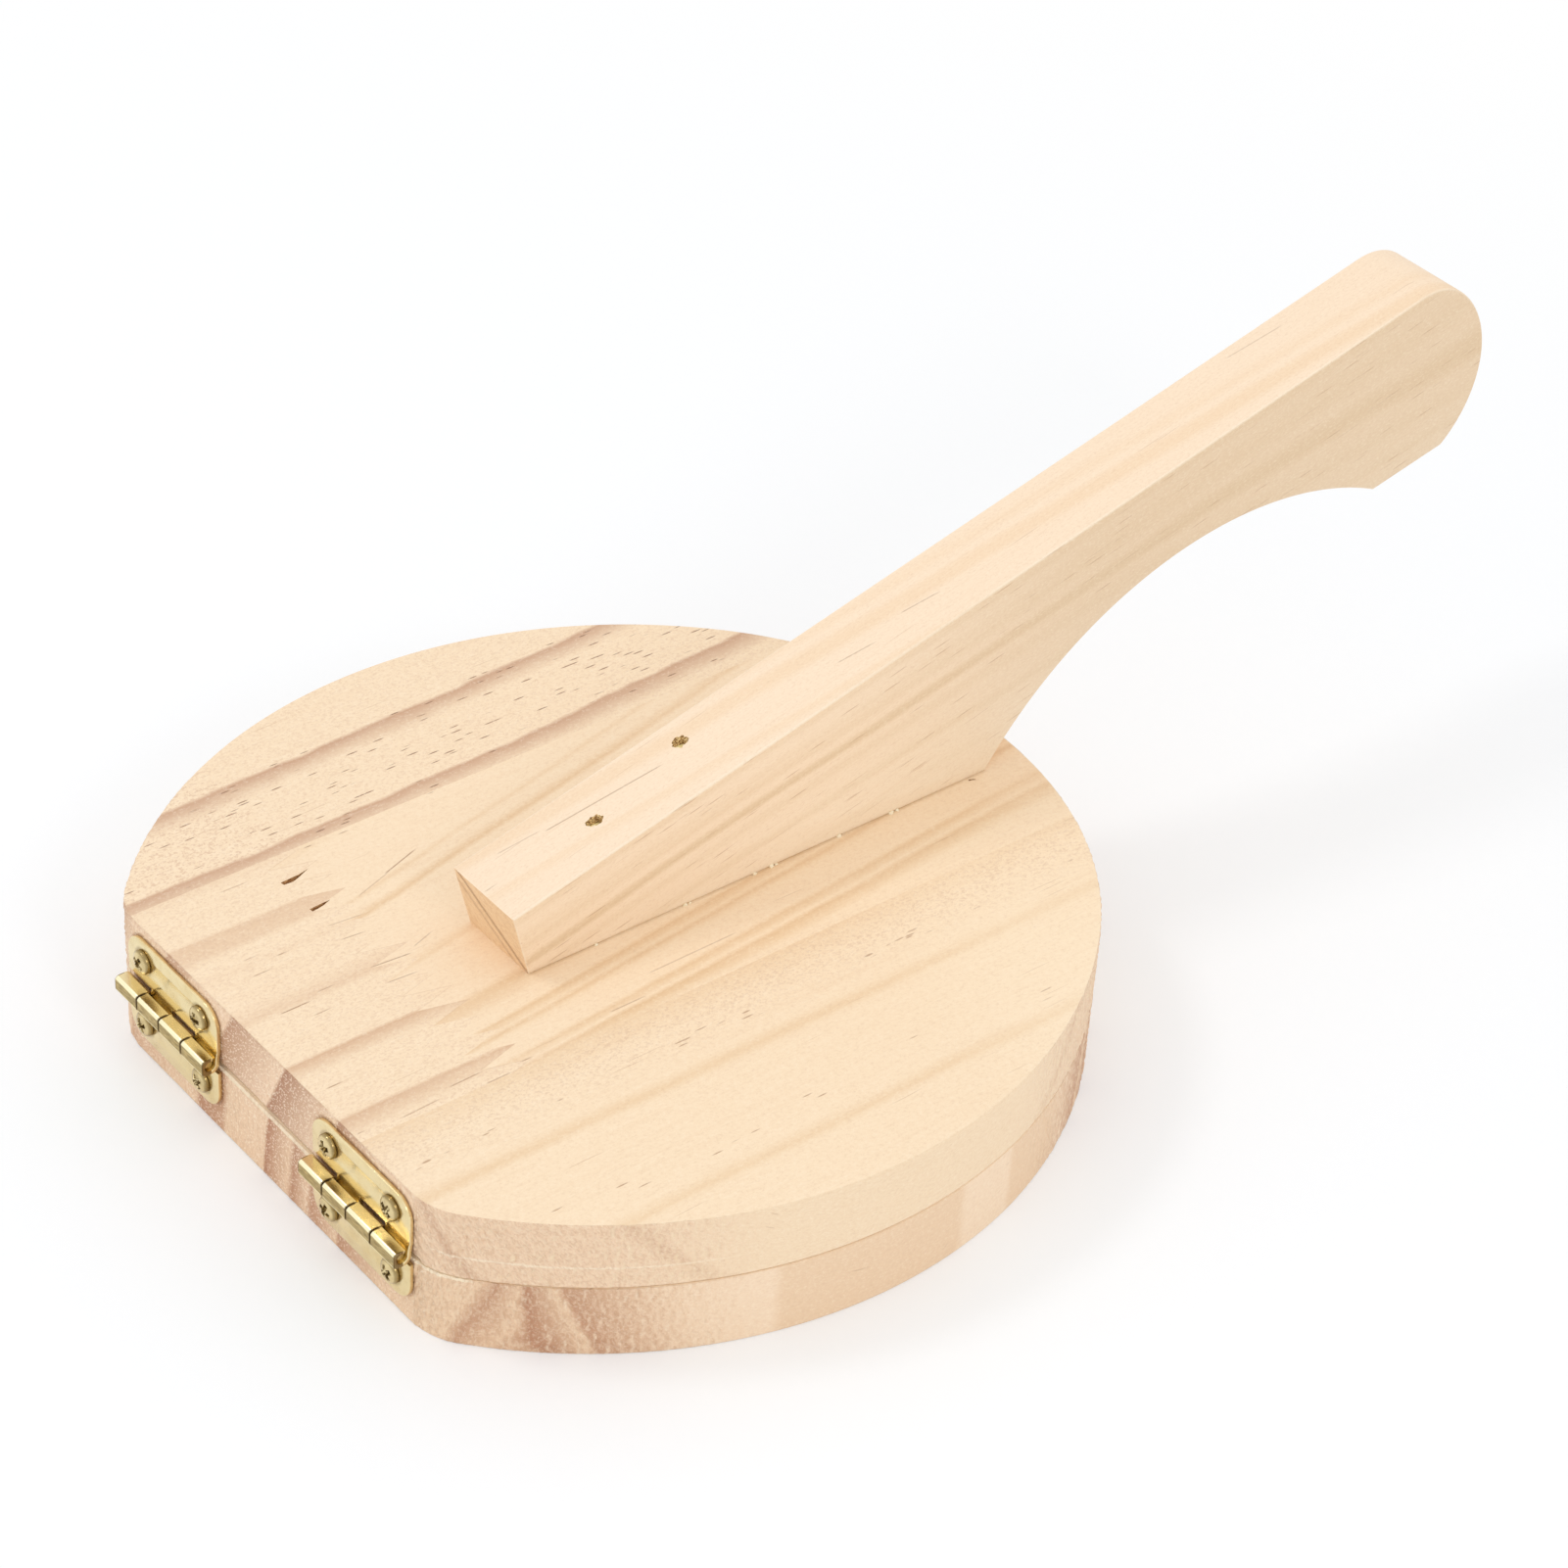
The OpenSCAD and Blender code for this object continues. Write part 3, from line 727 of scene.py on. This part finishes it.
def lid_pine():
    """Pine of the lid: cream strip, finger-jointed middle strip, and pinkish strip with resin."""
    finish, tree, shader = new_finish("lid_pine")
    (x, y, z), normal = place_in_mm(tree)
    waver = mottle(x * 0.03, y * 0.02, z * 0.03, 1.0) - 0.5
    wobble = mottle(x * 0.25, y * 0.1, z * 0.25, 2.0) - 0.5
    in_cream = x.ramp(STRIP_SEAMS[0] - 0.08, STRIP_SEAMS[0] + 0.08)
    in_rosy = x.ramp(STRIP_SEAMS[1] + 0.08, STRIP_SEAMS[1] - 0.08)
    top_x = x - (z - lid_high.z) * (in_cream * -1.05 + 0.5) + waver * 1.6 + wobble * 0.5
    cream = growth_rings(top_x, LID_PLAIN, HONEY_LATE, [
        (28, 35, 0.4, 0), (44, 47, 0, 0.6), (68, 71, 0, 0.5),
    ])
    pink = growth_rings(top_x, LID_PLAIN, PINK_LATE, [
        (-48, -42, 0.4, 0), (-32, -27, 0.6, 0.4), (-22, -20, 0.2, 0), (-12, -8, 0.1, 0.5),
        (6, 10, 1, 0), (22, 27, 1, 0),
    ])
    reach = y - FAN_Y
    fan = (top_x + reach * FAN_LEAN) / (reach * FAN_SPREAD + 1)
    honey = growth_rings(fan, LID_PLAIN, HONEY_LATE, [
        (-48, -42, 0.5, 0), (-27, -26, 0.6, 0), (-24, -22, 0, 0.9), (-8, -6, 0, 0.4), (8, 13, 0.9, 0),
        (16, 17.5, 0.9, 0.3), (18.5, 20, 1, 0), (25.5, 27, 0.8, 0.3), (28, 30, 1, 0.4),
    ])
    bend = x + y * 0.042 + y * y * 0.00025 + waver * 1.4 - (z - lid_high.z) * 0.5 + wobble * 1.8
    rosy = growth_rings(bend, LID_PLAIN, RUST_LATE, [
        (-69, -64, 1, 0), (-49, -44, 0.9, 0),
    ])
    teeth = (x - FINGER_X).math("PINGPONG", FINGER_PITCH / 2) * (2 * FINGER_LENGTH / FINGER_PITCH)
    past_joint = y - FINGER_TIP_Y + teeth + waver * 0.8
    far_part = past_joint.ramp(-0.25, 0.25)
    middle = blend(far_part, pink, honey)
    fade = mottle(x * 0.12, y * 0.03, z * 0.12, 2.0)
    middle = tint(middle, fade.ramp(0.45, 0.75) * 0.35, (247, 221, 189))
    seam = abs(past_joint).ramp(0.6, 0.1) * fade.ramp(0.5, 0.62)
    middle = tint(middle, seam * 0.25, (196, 154, 116))
    colour = blend(in_cream, middle, cream)
    colour = blend(in_rosy, colour, rosy)
    resin = flecks(x / 0.66, y / 5.2, z / 3, 0.34) * in_rosy
    resin = resin * bend.band(-67, -66, -52, -50)
    colour = tint(colour, resin * 0.9, (140, 100, 76))
    in_line = bend.band(-70.5, -69.5, -68, -66) + bend.band(-49.8, -49, -46, -44.5)
    edge_resin = flecks(x / 0.7, y / 4.5, z / 3 + 9, 0.22) * in_line
    colour = tint(colour, edge_resin * 0.9, (134, 94, 70))
    canals = flecks(x / 0.7, y / 5.5, z / 3 + 3, 0.09)
    in_bands = x.band(37, 38, 41, 42) + x.band(60, 61, 66, 67)
    colour = tint(colour, canals * in_bands * 0.75, (172, 132, 98))
    row = flecks(x / 1.0, y / 4.2, z / 3 + 5, 0.55) * x.band(38.2, 38.5, 39.4, 39.7)
    colour = tint(colour, row * 0.75, (176, 136, 102))
    colour = tint(colour, splits(x, y, LID_SPLITS) * 0.8, (146, 98, 62))
    # Painted contact shadow on the lid along the foot of the handle's side.
    foot_shadow = abs(x - handle_foot).ramp(0.5, 0.1) * y.band(-27, -25, 80, 82)
    colour = tint(colour, foot_shadow * 0.22, (190, 156, 104))
    colour = tint(colour, y.ramp(15, 60) * x.ramp(12, 30) * 0.35, (255, 238, 210))
    speckle = mottle(x * 2.1, y * 1.4, z * 2.1, 2.0, 0.7)
    fuzz = x.band(26, 31, 34, 46)
    colour = tint(colour, speckle.ramp(0.48, 0.64) * fuzz * 0.35, (212, 178, 150))
    sandy = in_rosy + abs(far_part - 1) * abs(in_cream - 1)
    colour = tint(colour, speckle.ramp(0.48, 0.64) * sandy * 0.26, (212, 174, 146))
    # Painted highlight: a pale line along the rim where the router left a small step.
    step_highlight = abs(z - 20).ramp(0.3, 0.12) * y.ramp(-2, -12) * x.ramp(46, 50)
    sawn = growth_rings(top_x, (241, 209, 177), (170, 120, 92), [
        (-69, -62, 0.4, 0), (-49, -43, 0.5, 0), (-32, -25, 0.5, 0.3), (-11.5, 4, 0.7, 0),
        (6, 20, 0.9, 0), (22, 33, 0.8, 0), (45, 47, 0, 0.4), (69, 71, 0, 0.3),
    ])
    end_grain = abs(normal[1]).ramp(0.25, 0.6)
    # Painted contact shadow round the hinge leaves on the hinge edge.
    leaf_shadow = leaf_contact_shadow(x, z, LID_LEAF_REACH) * normal[1].ramp(-0.9, -0.97)
    sawn = tint(sawn, leaf_shadow * 0.5, (140, 96, 66))
    sawn = tint(sawn, step_highlight * 0.6, (255, 238, 212))
    colour = tint(colour, normal[0].ramp(0.5, 0.8) * 0.6, (238, 212, 178))
    pine_surface(shader, colour, sawn, top_x, y, z, normal[1], end_grain, 0.5)
    return finish


lid_board = round_board("lid_board_wood", lid_low.z, lid_high.z, (0.25, 0.35), (1.6, 0.35))
lid_board.data.materials.append(lid_pine())
lid_board.data.materials.append(torn)
carve(lid_board, pilot_holes("upper"), 1)
carve(lid_board, [prism(tear, lid_high.z - TEAR_DEPTH, lid_high.z + 1, 0.8) for tear in TEARS], 1)
carve(lid_board, [nail_path(f"handle_nail_{end}", 0.06) for end in ("rear", "front")], 1)
shade(lid_board)
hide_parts("lid_board")
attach(lid_board, "lid")

# ---- upper leaves ----
# The other half of each hinge, stamped and rolled like the lower one but with its tongues at
# the knuckles between. Two screws hold it to the lid's edge.

for hand in ("left", "right"):
    upper_leaf = roll_leaf(f"{hand}_upper_leaf_brass", f"{hand}_upper_leaf", 1, 1)
    upper_leaf.data.materials.append(leaf_brass)
    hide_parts(f"{hand}_upper_leaf")
    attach(upper_leaf, "lid")

# ---- hinge screws ----
# Eight small pan-head wood screws, brass-plated. Each has a cross recess punched in its domed
# head and a rolled thread below, and each was driven to its own angle.

HEAD_R = 2.4
HEAD_H = 1.4
CROSS_HALF = 1.6
CROSS_WIDE = 0.52
CROSS_DEPTH = 1.0
SHANK_R = 0.92
THREAD_H = 0.24
THREAD_PITCH = 1.1
SCREW_POINT = 3


def screw_body(length):
    """A screw with its head's seat at z = 0 and its point below."""
    sides = 40
    head = [(1.9, 0.0), (2.3, 0.02), (HEAD_R, 0.14), (HEAD_R, 0.5), (2.34, 0.68)]
    head += [(2.16, 0.9), (1.8, 1.13), (1.3, 1.29), (0.7, 1.37), (0.25, HEAD_H)]
    rings = []
    rows = round(length / 0.12)
    for row in range(rows + 1):
        depth = length * (1 - row / rows)
        core = SHANK_R * min(1, 0.12 + 0.88 * (length - depth) / SCREW_POINT)
        ring = []
        for i in range(sides):
            phase = (i / sides + depth / THREAD_PITCH) % 1
            crest = max(0, 1 - abs(phase - 0.5) * 4) * THREAD_H * min(1, (length - depth) / 1.5)
            crest *= min(1, max(0, depth - 0.4))
            a = 2 * pi * i / sides
            ring.append(((core + crest) * cos(a), (core + crest) * sin(a), -depth))
        rings.append(ring)
    for radius, z in head:
        rings.append([(*spot, z) for spot in circle(radius, sides)])
    return loft("screw", rings)


def recess_brass():
    """Plating inside a screw's cross, painted dark in patches for the shade in the recess."""
    finish, tree, shader = new_finish("recess_brass")
    (x, y, z), _ = place_in_mm(tree)
    recess_shade = mottle(x * 2.5, y * 2.5, z * 2.5, 2.0).ramp(0.45, 0.6)
    plug(blend(recess_shade, paint(104, 84, 48), paint(226, 208, 160)), shader.inputs["Base Color"])
    shader.inputs["Metallic"].default_value = 1
    shader.inputs["Roughness"].default_value = 0.3
    return finish


def cross_punch():
    """The driver's cross, wider at the top than at the bottom."""
    rings = []
    mouth = (CROSS_HALF, CROSS_WIDE, CROSS_DEPTH)
    for half, wide, z in ((0.35, 0.2, -0.35), (0.8, 0.24, 0), mouth, (1.9, 0.5, 2)):
        quarter = [(half, -wide), (half, wide), (wide, wide)]
        ring = []
        for turn in range(4):
            c, s = round(cos(turn * pi / 2)), round(sin(turn * pi / 2))
            ring += [(c * px - s * py, s * px + c * py, HEAD_H - CROSS_DEPTH + z) for px, py in quarter]
        rings.append(ring)
    return loft("cutter", rings)


screw_brass = brass("screw_brass", (226, 206, 156), (150, 126, 80), 0.9, screwed=True)
screw_recess = recess_brass()
DRIVEN = [20, 52, 71, 35, 8, 63, 40, 27]
for hand in ("left", "right"):
    for row, body in (("lower", "base"), ("upper", "lid")):
        for where in ("outer", "inner"):
            node = f"{hand}_{row}_screw_{where}"
            low, high = (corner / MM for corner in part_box(node))
            screw = screw_body(high.y - low.y - HEAD_H)
            screw.data.materials.append(screw_brass)
            screw.data.materials.append(screw_recess)
            carve(screw, [cross_punch()], 1)
            seat = Vector(((low.x + high.x) / 2, low.y + HEAD_H, (low.z + high.z) / 2))
            turned = Matrix.Rotation(radians(90), 4, "X") @ Matrix.Rotation(radians(DRIVEN.pop()), 4, "Z")
            screw.data.transform(Matrix.Translation(seat * MM) @ turned)
            screw.name = f"{node}_turned"
            shade(screw)
            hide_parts(node)
            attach(screw, body)

# ---- handle ----
# A long lever bandsawn on its side from a pine plank, with a scoop below for the fingers and a
# round butt. It stands on the lid, glued and nailed, and a little glue has squeezed out.

handle_low, handle_high = (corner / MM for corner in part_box("handle"))
HANDLE_BACK = -29.4
HANDLE_LEAN = 3.7
HANDLE_BACK_H = 14
HANDLE_SLOPE = 14.6
CROWN = (188.28, 57.37)
CROWN_R = 12.88
NOSE = (182.2, 49.18)
NOSE_R = 23.08
CROWN_TURN = 53.4
HOOK = (179.3, 27.78)
HOOK_TURN = -48.6
ARCH = (146.12, -42.64)
ARCH_R = 77.85
FOOT_END = 81
HANDLE_ROUND = 0.6
MARK_ACROSS = 1.5
MARK_ALONG = 2.05
MARK_SIDES = 26
TOP_SPLITS = [
    (-4.5, -12.6, 12.4, 0.1, 0.5), (-6.4, -22, -13, 0.13, 0.3), (1.4, 50.5, 59, 0.12, 0.4),
    (0, 66.8, 75.5, 0.115, 0.4), (-7.2, 155, 169, 0.07, 0.3), (-0.6, -29, -26, 0, 0.35),
]
GLUE_BEADS = [
    (-11, 0.35), (9, 0.5), (10.2, 0.3), (25, 0.45), (29, 0.55), (30.1, 0.35), (45, 0.5),
    (57.5, 0.6), (59, 0.4),
]


def handle_outline():
    """The lever's side in (y, height over the lid), clockwise from the back of its foot."""
    outline = [(HANDLE_BACK + HANDLE_LEAN, 0), (HANDLE_BACK, HANDLE_BACK_H)]
    outline += [tuple(p) for p, _ in arc_points(CROWN, CROWN_R, 90 + HANDLE_SLOPE, CROWN_TURN, 0.8)]
    outline += [tuple(p) for p, _ in arc_points(NOSE, NOSE_R, CROWN_TURN, HOOK_TURN, 0.8)]
    end = radians(HOOK_TURN)
    outline.append((NOSE[0] + NOSE_R * cos(end), NOSE[1] + NOSE_R * sin(end)))
    first = degrees(atan2(HOOK[1] - ARCH[1], HOOK[0] - ARCH[0]))
    last = degrees(atan2(-ARCH[1], FOOT_END - ARCH[0]))
    outline += [tuple(p) for p, _ in arc_points(ARCH, ARCH_R, first, last, 1.2)]
    outline.append((FOOT_END, 0))
    return outline


def draw_in(outline, amount):
    """A clockwise outline moved inwards. Its foot on the lid moves only half as far."""
    moved = []
    for i in range(len(outline)):
        before, here, after = (Vector(outline[k % len(outline)]) for k in (i - 1, i, i + 1))
        into = [Vector((step.y, -step.x)).normalized() for step in (here - before, after - here)]
        mitre = (into[0] + into[1]) / (1 + into[0].dot(into[1]))
        shift = mitre * amount
        if here.y < 0.01:
            shift.y *= 0.4
        moved.append(here + shift)
    return moved


def nail_mark(node, seed):
    """Ragged mark of the nail gun round a nail's head, open at the handle's top."""
    low, high = (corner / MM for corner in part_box(node))
    x, y = (low.x + high.x) / 2, (low.y + high.y) / 2
    outline = []
    for i, (across, along) in enumerate(circle(1, MARK_SIDES)):
        ragged = 1 + 0.4 * noise.noise(Vector((i * 1.3, seed, 0.3)))
        outline.append((x + MARK_ACROSS * ragged * across, y + MARK_ALONG * ragged * along))
    return prism(outline, high.z - 0.1, high.z + 2.4, 0.6)


def handle_pine():
    """Pine of the handle: its grain runs along the straight top, and its rings cross the sides."""
    finish, tree, shader = new_finish("handle_pine")
    (x, y, z), normal = place_in_mm(tree)
    slope = radians(HANDLE_SLOPE)
    along = y * cos(slope) + z * sin(slope)
    over = z * cos(slope) - y * sin(slope)
    along_top = (y - HANDLE_BACK) * (1 / cos(slope)) + HANDLE_BACK
    waver = mottle(along * 0.012, over * 0.05, x * 0.05, 2.0) - 0.5
    low_part = over.ramp(46, 16)
    side_u = over + waver * 3.0 + (along - 20).math("MAXIMUM", 0) * low_part * 0.08
    side = growth_rings(side_u, (249, 226, 198), (218, 188, 146), [
        (22, 24, 0.4, 0), (29, 31, 0.4, 0), (34, 35, 0.1, 0.3), (38, 38.4, 1, 1), (41.5, 42, 0.3, 0.2),
        (44, 45, 0.2, 0), (48, 50, 0.2, 0.1),
    ])
    # Painted light: the side is paler low down, next to the lid, to offset the shade there.
    side = tint(side, side_u.ramp(40, 18) * 0.75, (255, 240, 216))
    top_u = x - (y - 49) * 0.076 + waver * 2.0
    top = growth_rings(top_u, (250, 226, 198), (240, 206, 166), [
        (-11, -8, 0, 0.3), (-5, -2, 0.4, 0.4), (7, 9, 0.4, 0),
    ])
    side = tint(side, along.ramp(40, 130) * 0.65, (222, 193, 156))
    is_side = abs(normal[0]).ramp(0.6, 0.8)
    colour = blend(is_side, top, side)
    diagonal = z * 0.77 + x * 0.64 + waver * 1.5
    end = growth_rings(diagonal, (246, 214, 174), (150, 104, 68), [
        (25.6, 26, 0.6, 0), (28.2, 28.8, 1, 0),
    ])
    cut_end = (normal[1] * -1).ramp(0.75, 0.9)
    strokes = flecks(x / 0.45, along / 11.0, over / 0.6 + 5, 0.16) * is_side
    colour = tint(colour, strokes * 0.55, (190, 150, 112))
    is_top = abs(is_side - 1) * over.ramp(36, 38)
    colour = tint(colour, splits(x, along_top, TOP_SPLITS) * is_top, (140, 104, 72))
    # Painted contact shadow on the handle's side just above the lid.
    foot_shadow = z.ramp(lid_high.z + 0.9, lid_high.z) * is_side
    colour = tint(colour, foot_shadow * 0.3, (206, 176, 124))
    # Painted highlight along the rounded arrises between the handle's top and sides.
    arris_highlight = abs(normal[0]).band(0.1, 0.4, 0.85, 0.98)
    colour = tint(colour, arris_highlight * 0.3, (255, 244, 222))
    end = tint(end, y.ramp(0, 10), (238, 208, 174))
    round_end = y.ramp(192, 203) * abs(is_side - 1) * 0.6
    cut_end = cut_end.math("MAXIMUM", round_end)
    pine_surface(shader, colour, end, over + x, along, over - x, normal[1], cut_end, 0.3)
    return finish


def glue():
    """Dried white wood glue: pale and glossy."""
    finish, tree, shader = new_finish("glue")
    (x, y, z), _ = place_in_mm(tree)
    cloud = mottle(x, y, z)
    plug(blend(cloud, paint(255, 246, 224), paint(244, 222, 178)), shader.inputs["Base Color"])
    shader.inputs["Roughness"].default_value = 0.2
    return finish


def squeezed_glue(x, z):
    """Small uneven beads in the corner between the handle's side and the lid."""
    points, faces = [], []
    rows, sides = 8, 14
    for number, (y, size) in enumerate(GLUE_BEADS):
        start = len(points)
        for row in range(rows + 1):
            rise = pi * row / rows
            for i in range(sides):
                a = 2 * pi * i / sides
                ray = Vector((sin(rise) * cos(a) * 0.7, sin(rise) * sin(a), cos(rise) * 0.8))
                lump = 1 + 0.5 * noise.noise(ray * 1.6 + Vector((number * 5.3, 0, 0)))
                points.append(Vector((x, y, z)) + ray * size * lump)
        for row in range(rows):
            for i in range(sides):
                low, high = start + row * sides, start + (row + 1) * sides
                faces.append((low + i, high + i, high + (i + 1) % sides, low + (i + 1) % sides))
    beads = make_piece("squeezed_glue", points, faces)
    weld(beads.data, 0.001)
    shade(beads, 80)
    return beads


side_view = handle_outline()
handle_mid = (handle_low.x + handle_high.x) / 2
handle_half = (handle_high.x - handle_low.x) / 2
rings = []
for side in (-1, 1):
    for a in (range(90, -1, -18) if side < 0 else range(0, 91, 18)):
        inset = HANDLE_ROUND * (1 - cos(radians(a)))
        x = handle_mid + side * (handle_half - HANDLE_ROUND * (1 - sin(radians(a))))
        rings.append([(x, p.x, lid_high.z + p.y) for p in draw_in(side_view, inset)])
handle = loft("handle_wood", rings)
marks = [nail_mark(f"handle_nail_{end}", 3 + i) for i, end in enumerate(("rear", "front"))]
handle.data.materials.append(handle_pine())
# The gun mark's dark brown is painted shade inside the nail marks.
handle.data.materials.append(torn_wood("gun_mark", (128, 84, 40), (255, 226, 164)))
carve(handle, marks, 1)
carve(handle, [nail_path(f"handle_nail_{end}", 0.12, True) for end in ("rear", "front")], 1)
carve(handle, [nail_path(f"handle_nail_{end}", 0.06) for end in ("rear", "front")], 1)
shade(handle)
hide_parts("handle")
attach(handle, "lid")
beads = squeezed_glue(handle_high.x + 0.15, lid_high.z + 0.05)
beads.data.materials.append(glue())
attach(beads, "lid")

# ---- handle nails ----
# Two flat-wire nails with T heads, shot down through the handle into the lid by a nail gun.
# Their heads lie sunk in the ragged marks that the gun left.

NAIL_HEAD_H = 1
NAIL_POINT = 2.5

for end in ("rear", "front"):
    node = f"handle_nail_{end}"
    low, high = (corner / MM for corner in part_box(node))
    head, wire, length = (high.y - low.y) / 2, NAIL_WIDE / 2, high.z - low.z
    half = [(head, 0), (head, -NAIL_HEAD_H), (wire, -NAIL_HEAD_H), (wire, NAIL_POINT - length)]
    outline = [(-across, rise) for across, rise in half] + [(0, -length)] + half[::-1]
    nail = stamp(f"{node}_wire", [outline], high.x - low.x, 0.12)
    stand = Matrix.Rotation(radians(90), 4, "Z") @ Matrix.Rotation(radians(90), 4, "X")
    place = Vector(((low.x + high.x) / 2, (low.y + high.y) / 2, high.z)) * MM
    nail.data.transform(Matrix.Translation(place) @ stand)
    shade(nail)
    nail.data.materials.append(brass("nail_wire", (255, 240, 176), (240, 204, 128), 0.8, sunk=True))
    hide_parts(node)
    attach(nail, "lid")

# ---- table ----
# A plain white table under the press. It takes the press's soft shadow near by. To the camera it is a
# quarter white glow near the press, which paints that shadow lighter, and all glow farther out, where it
# fades into the white room.

TABLE_HALF = 3000
TABLE_NEAR = 150
TABLE_FAR = 520
TABLE_DROP = 0.05


def either_shader(amount, first, second, end):
    """Wires two shaders, mixed by a field, to the end of their tree."""
    mixed = amount.tree.nodes.new("ShaderNodeMixShader")
    plug(amount, mixed.inputs[0])
    for source, slot in ((first, mixed.inputs[1]), (second, mixed.inputs[2]), (mixed, end.inputs[0])):
        plug(Field(amount.tree, source.outputs[0]), slot)


corners = [(TABLE_HALF * a, TABLE_HALF * b) for a, b in ((-1, -1), (1, -1), (1, 1), (-1, 1))]
table = make_piece("table", [(x, y, -TABLE_DROP) for x, y in corners], [(0, 1, 2, 3)])
table_white, tree, shader = new_finish("table_white")
(x, y, _), _ = place_in_mm(tree)
# Painted light: camera rays see a white glow, a quarter of it near the press and all of it farther out.
away = (x * x + y * y).math("SQRT").ramp(TABLE_NEAR, TABLE_FAR) * 0.75 + 0.25
table_rays = tree.nodes.new("ShaderNodeLightPath")
away = away * Field(tree, table_rays.outputs["Is Camera Ray"])
glow = tree.nodes.new("ShaderNodeEmission")
either_shader(away, shader, glow, tree.nodes["Material Output"])
shader.inputs["Base Color"].default_value = (0.965, 0.98, 1, 1)
shader.inputs["Roughness"].default_value = 0.7
table.data.materials.append(table_white)

# ---- light and camera ----
# A white room with one wide soft lamp high on the left and a weaker one on the right. The
# camera is a long lens, a little above the press and turned towards its hinge corner.

CAMERA_TURN = 49.38
CAMERA_RISE = 37.01
CAMERA_ROLL = 3.8
CAMERA_FAR = 857.55
AIM = Vector((-39.64, 72.19, 0))
LENS = 98.4
LIT_SPOT = (0, 30, 20)

world = bpy.data.worlds.new("room")
bpy.context.scene.world = world
world.use_nodes = True
tree = world.node_tree
room = tree.nodes["Background"]
room.inputs["Strength"].default_value = 0.9
backdrop = tree.nodes.new("ShaderNodeBackground")
backdrop.inputs["Color"].default_value = (1, 1, 1, 1)
room.inputs["Color"].default_value = (1, 1, 1, 1)
room_rays = tree.nodes.new("ShaderNodeLightPath")
seen = Field(tree, room_rays.outputs["Is Camera Ray"])
for kind in ("Is Glossy Ray", "Is Transmission Ray"):
    seen = seen.math("MAXIMUM", Field(tree, room_rays.outputs[kind]))
either_shader(seen, room, backdrop, tree.nodes["World Output"])


def lamp(name, place, size, power):
    """A wide soft lamp at a place in mm, turned towards the press."""
    light = bpy.data.lights.new(name, "AREA")
    light.shape = "DISK"
    light.size = size * MM
    light.energy = power
    holder = new_object(name, light)
    holder.location = Vector(place) * MM
    towards = Vector(LIT_SPOT) - Vector(place)
    holder.rotation_euler = towards.to_track_quat("-Z", "Y").to_euler()


lamp("key", (-500, -500, 1100), 300, 1.9)
lamp("fill", (900, -100, 700), 300, 1.1)

turn, rise, roll = radians(CAMERA_TURN), radians(CAMERA_RISE), radians(CAMERA_ROLL)
back = Vector((sin(turn) * cos(rise), -cos(turn) * cos(rise), sin(rise)))
across = Vector((cos(turn), sin(turn), 0))
upward = back.cross(across)
right = across * cos(roll) + upward * sin(roll)
up = upward * cos(roll) - across * sin(roll)
lens = bpy.data.cameras.new("camera")
lens.lens = LENS
lens.sensor_width = 36
lens.clip_end = 10
camera = new_object("camera", lens)
spot = (AIM + back * CAMERA_FAR) * MM
camera.matrix_world = Matrix.Translation(spot) @ Matrix((right, up, back)).transposed().to_4x4()
bpy.context.scene.camera = camera
bpy.context.scene.view_settings.view_transform = "Standard"
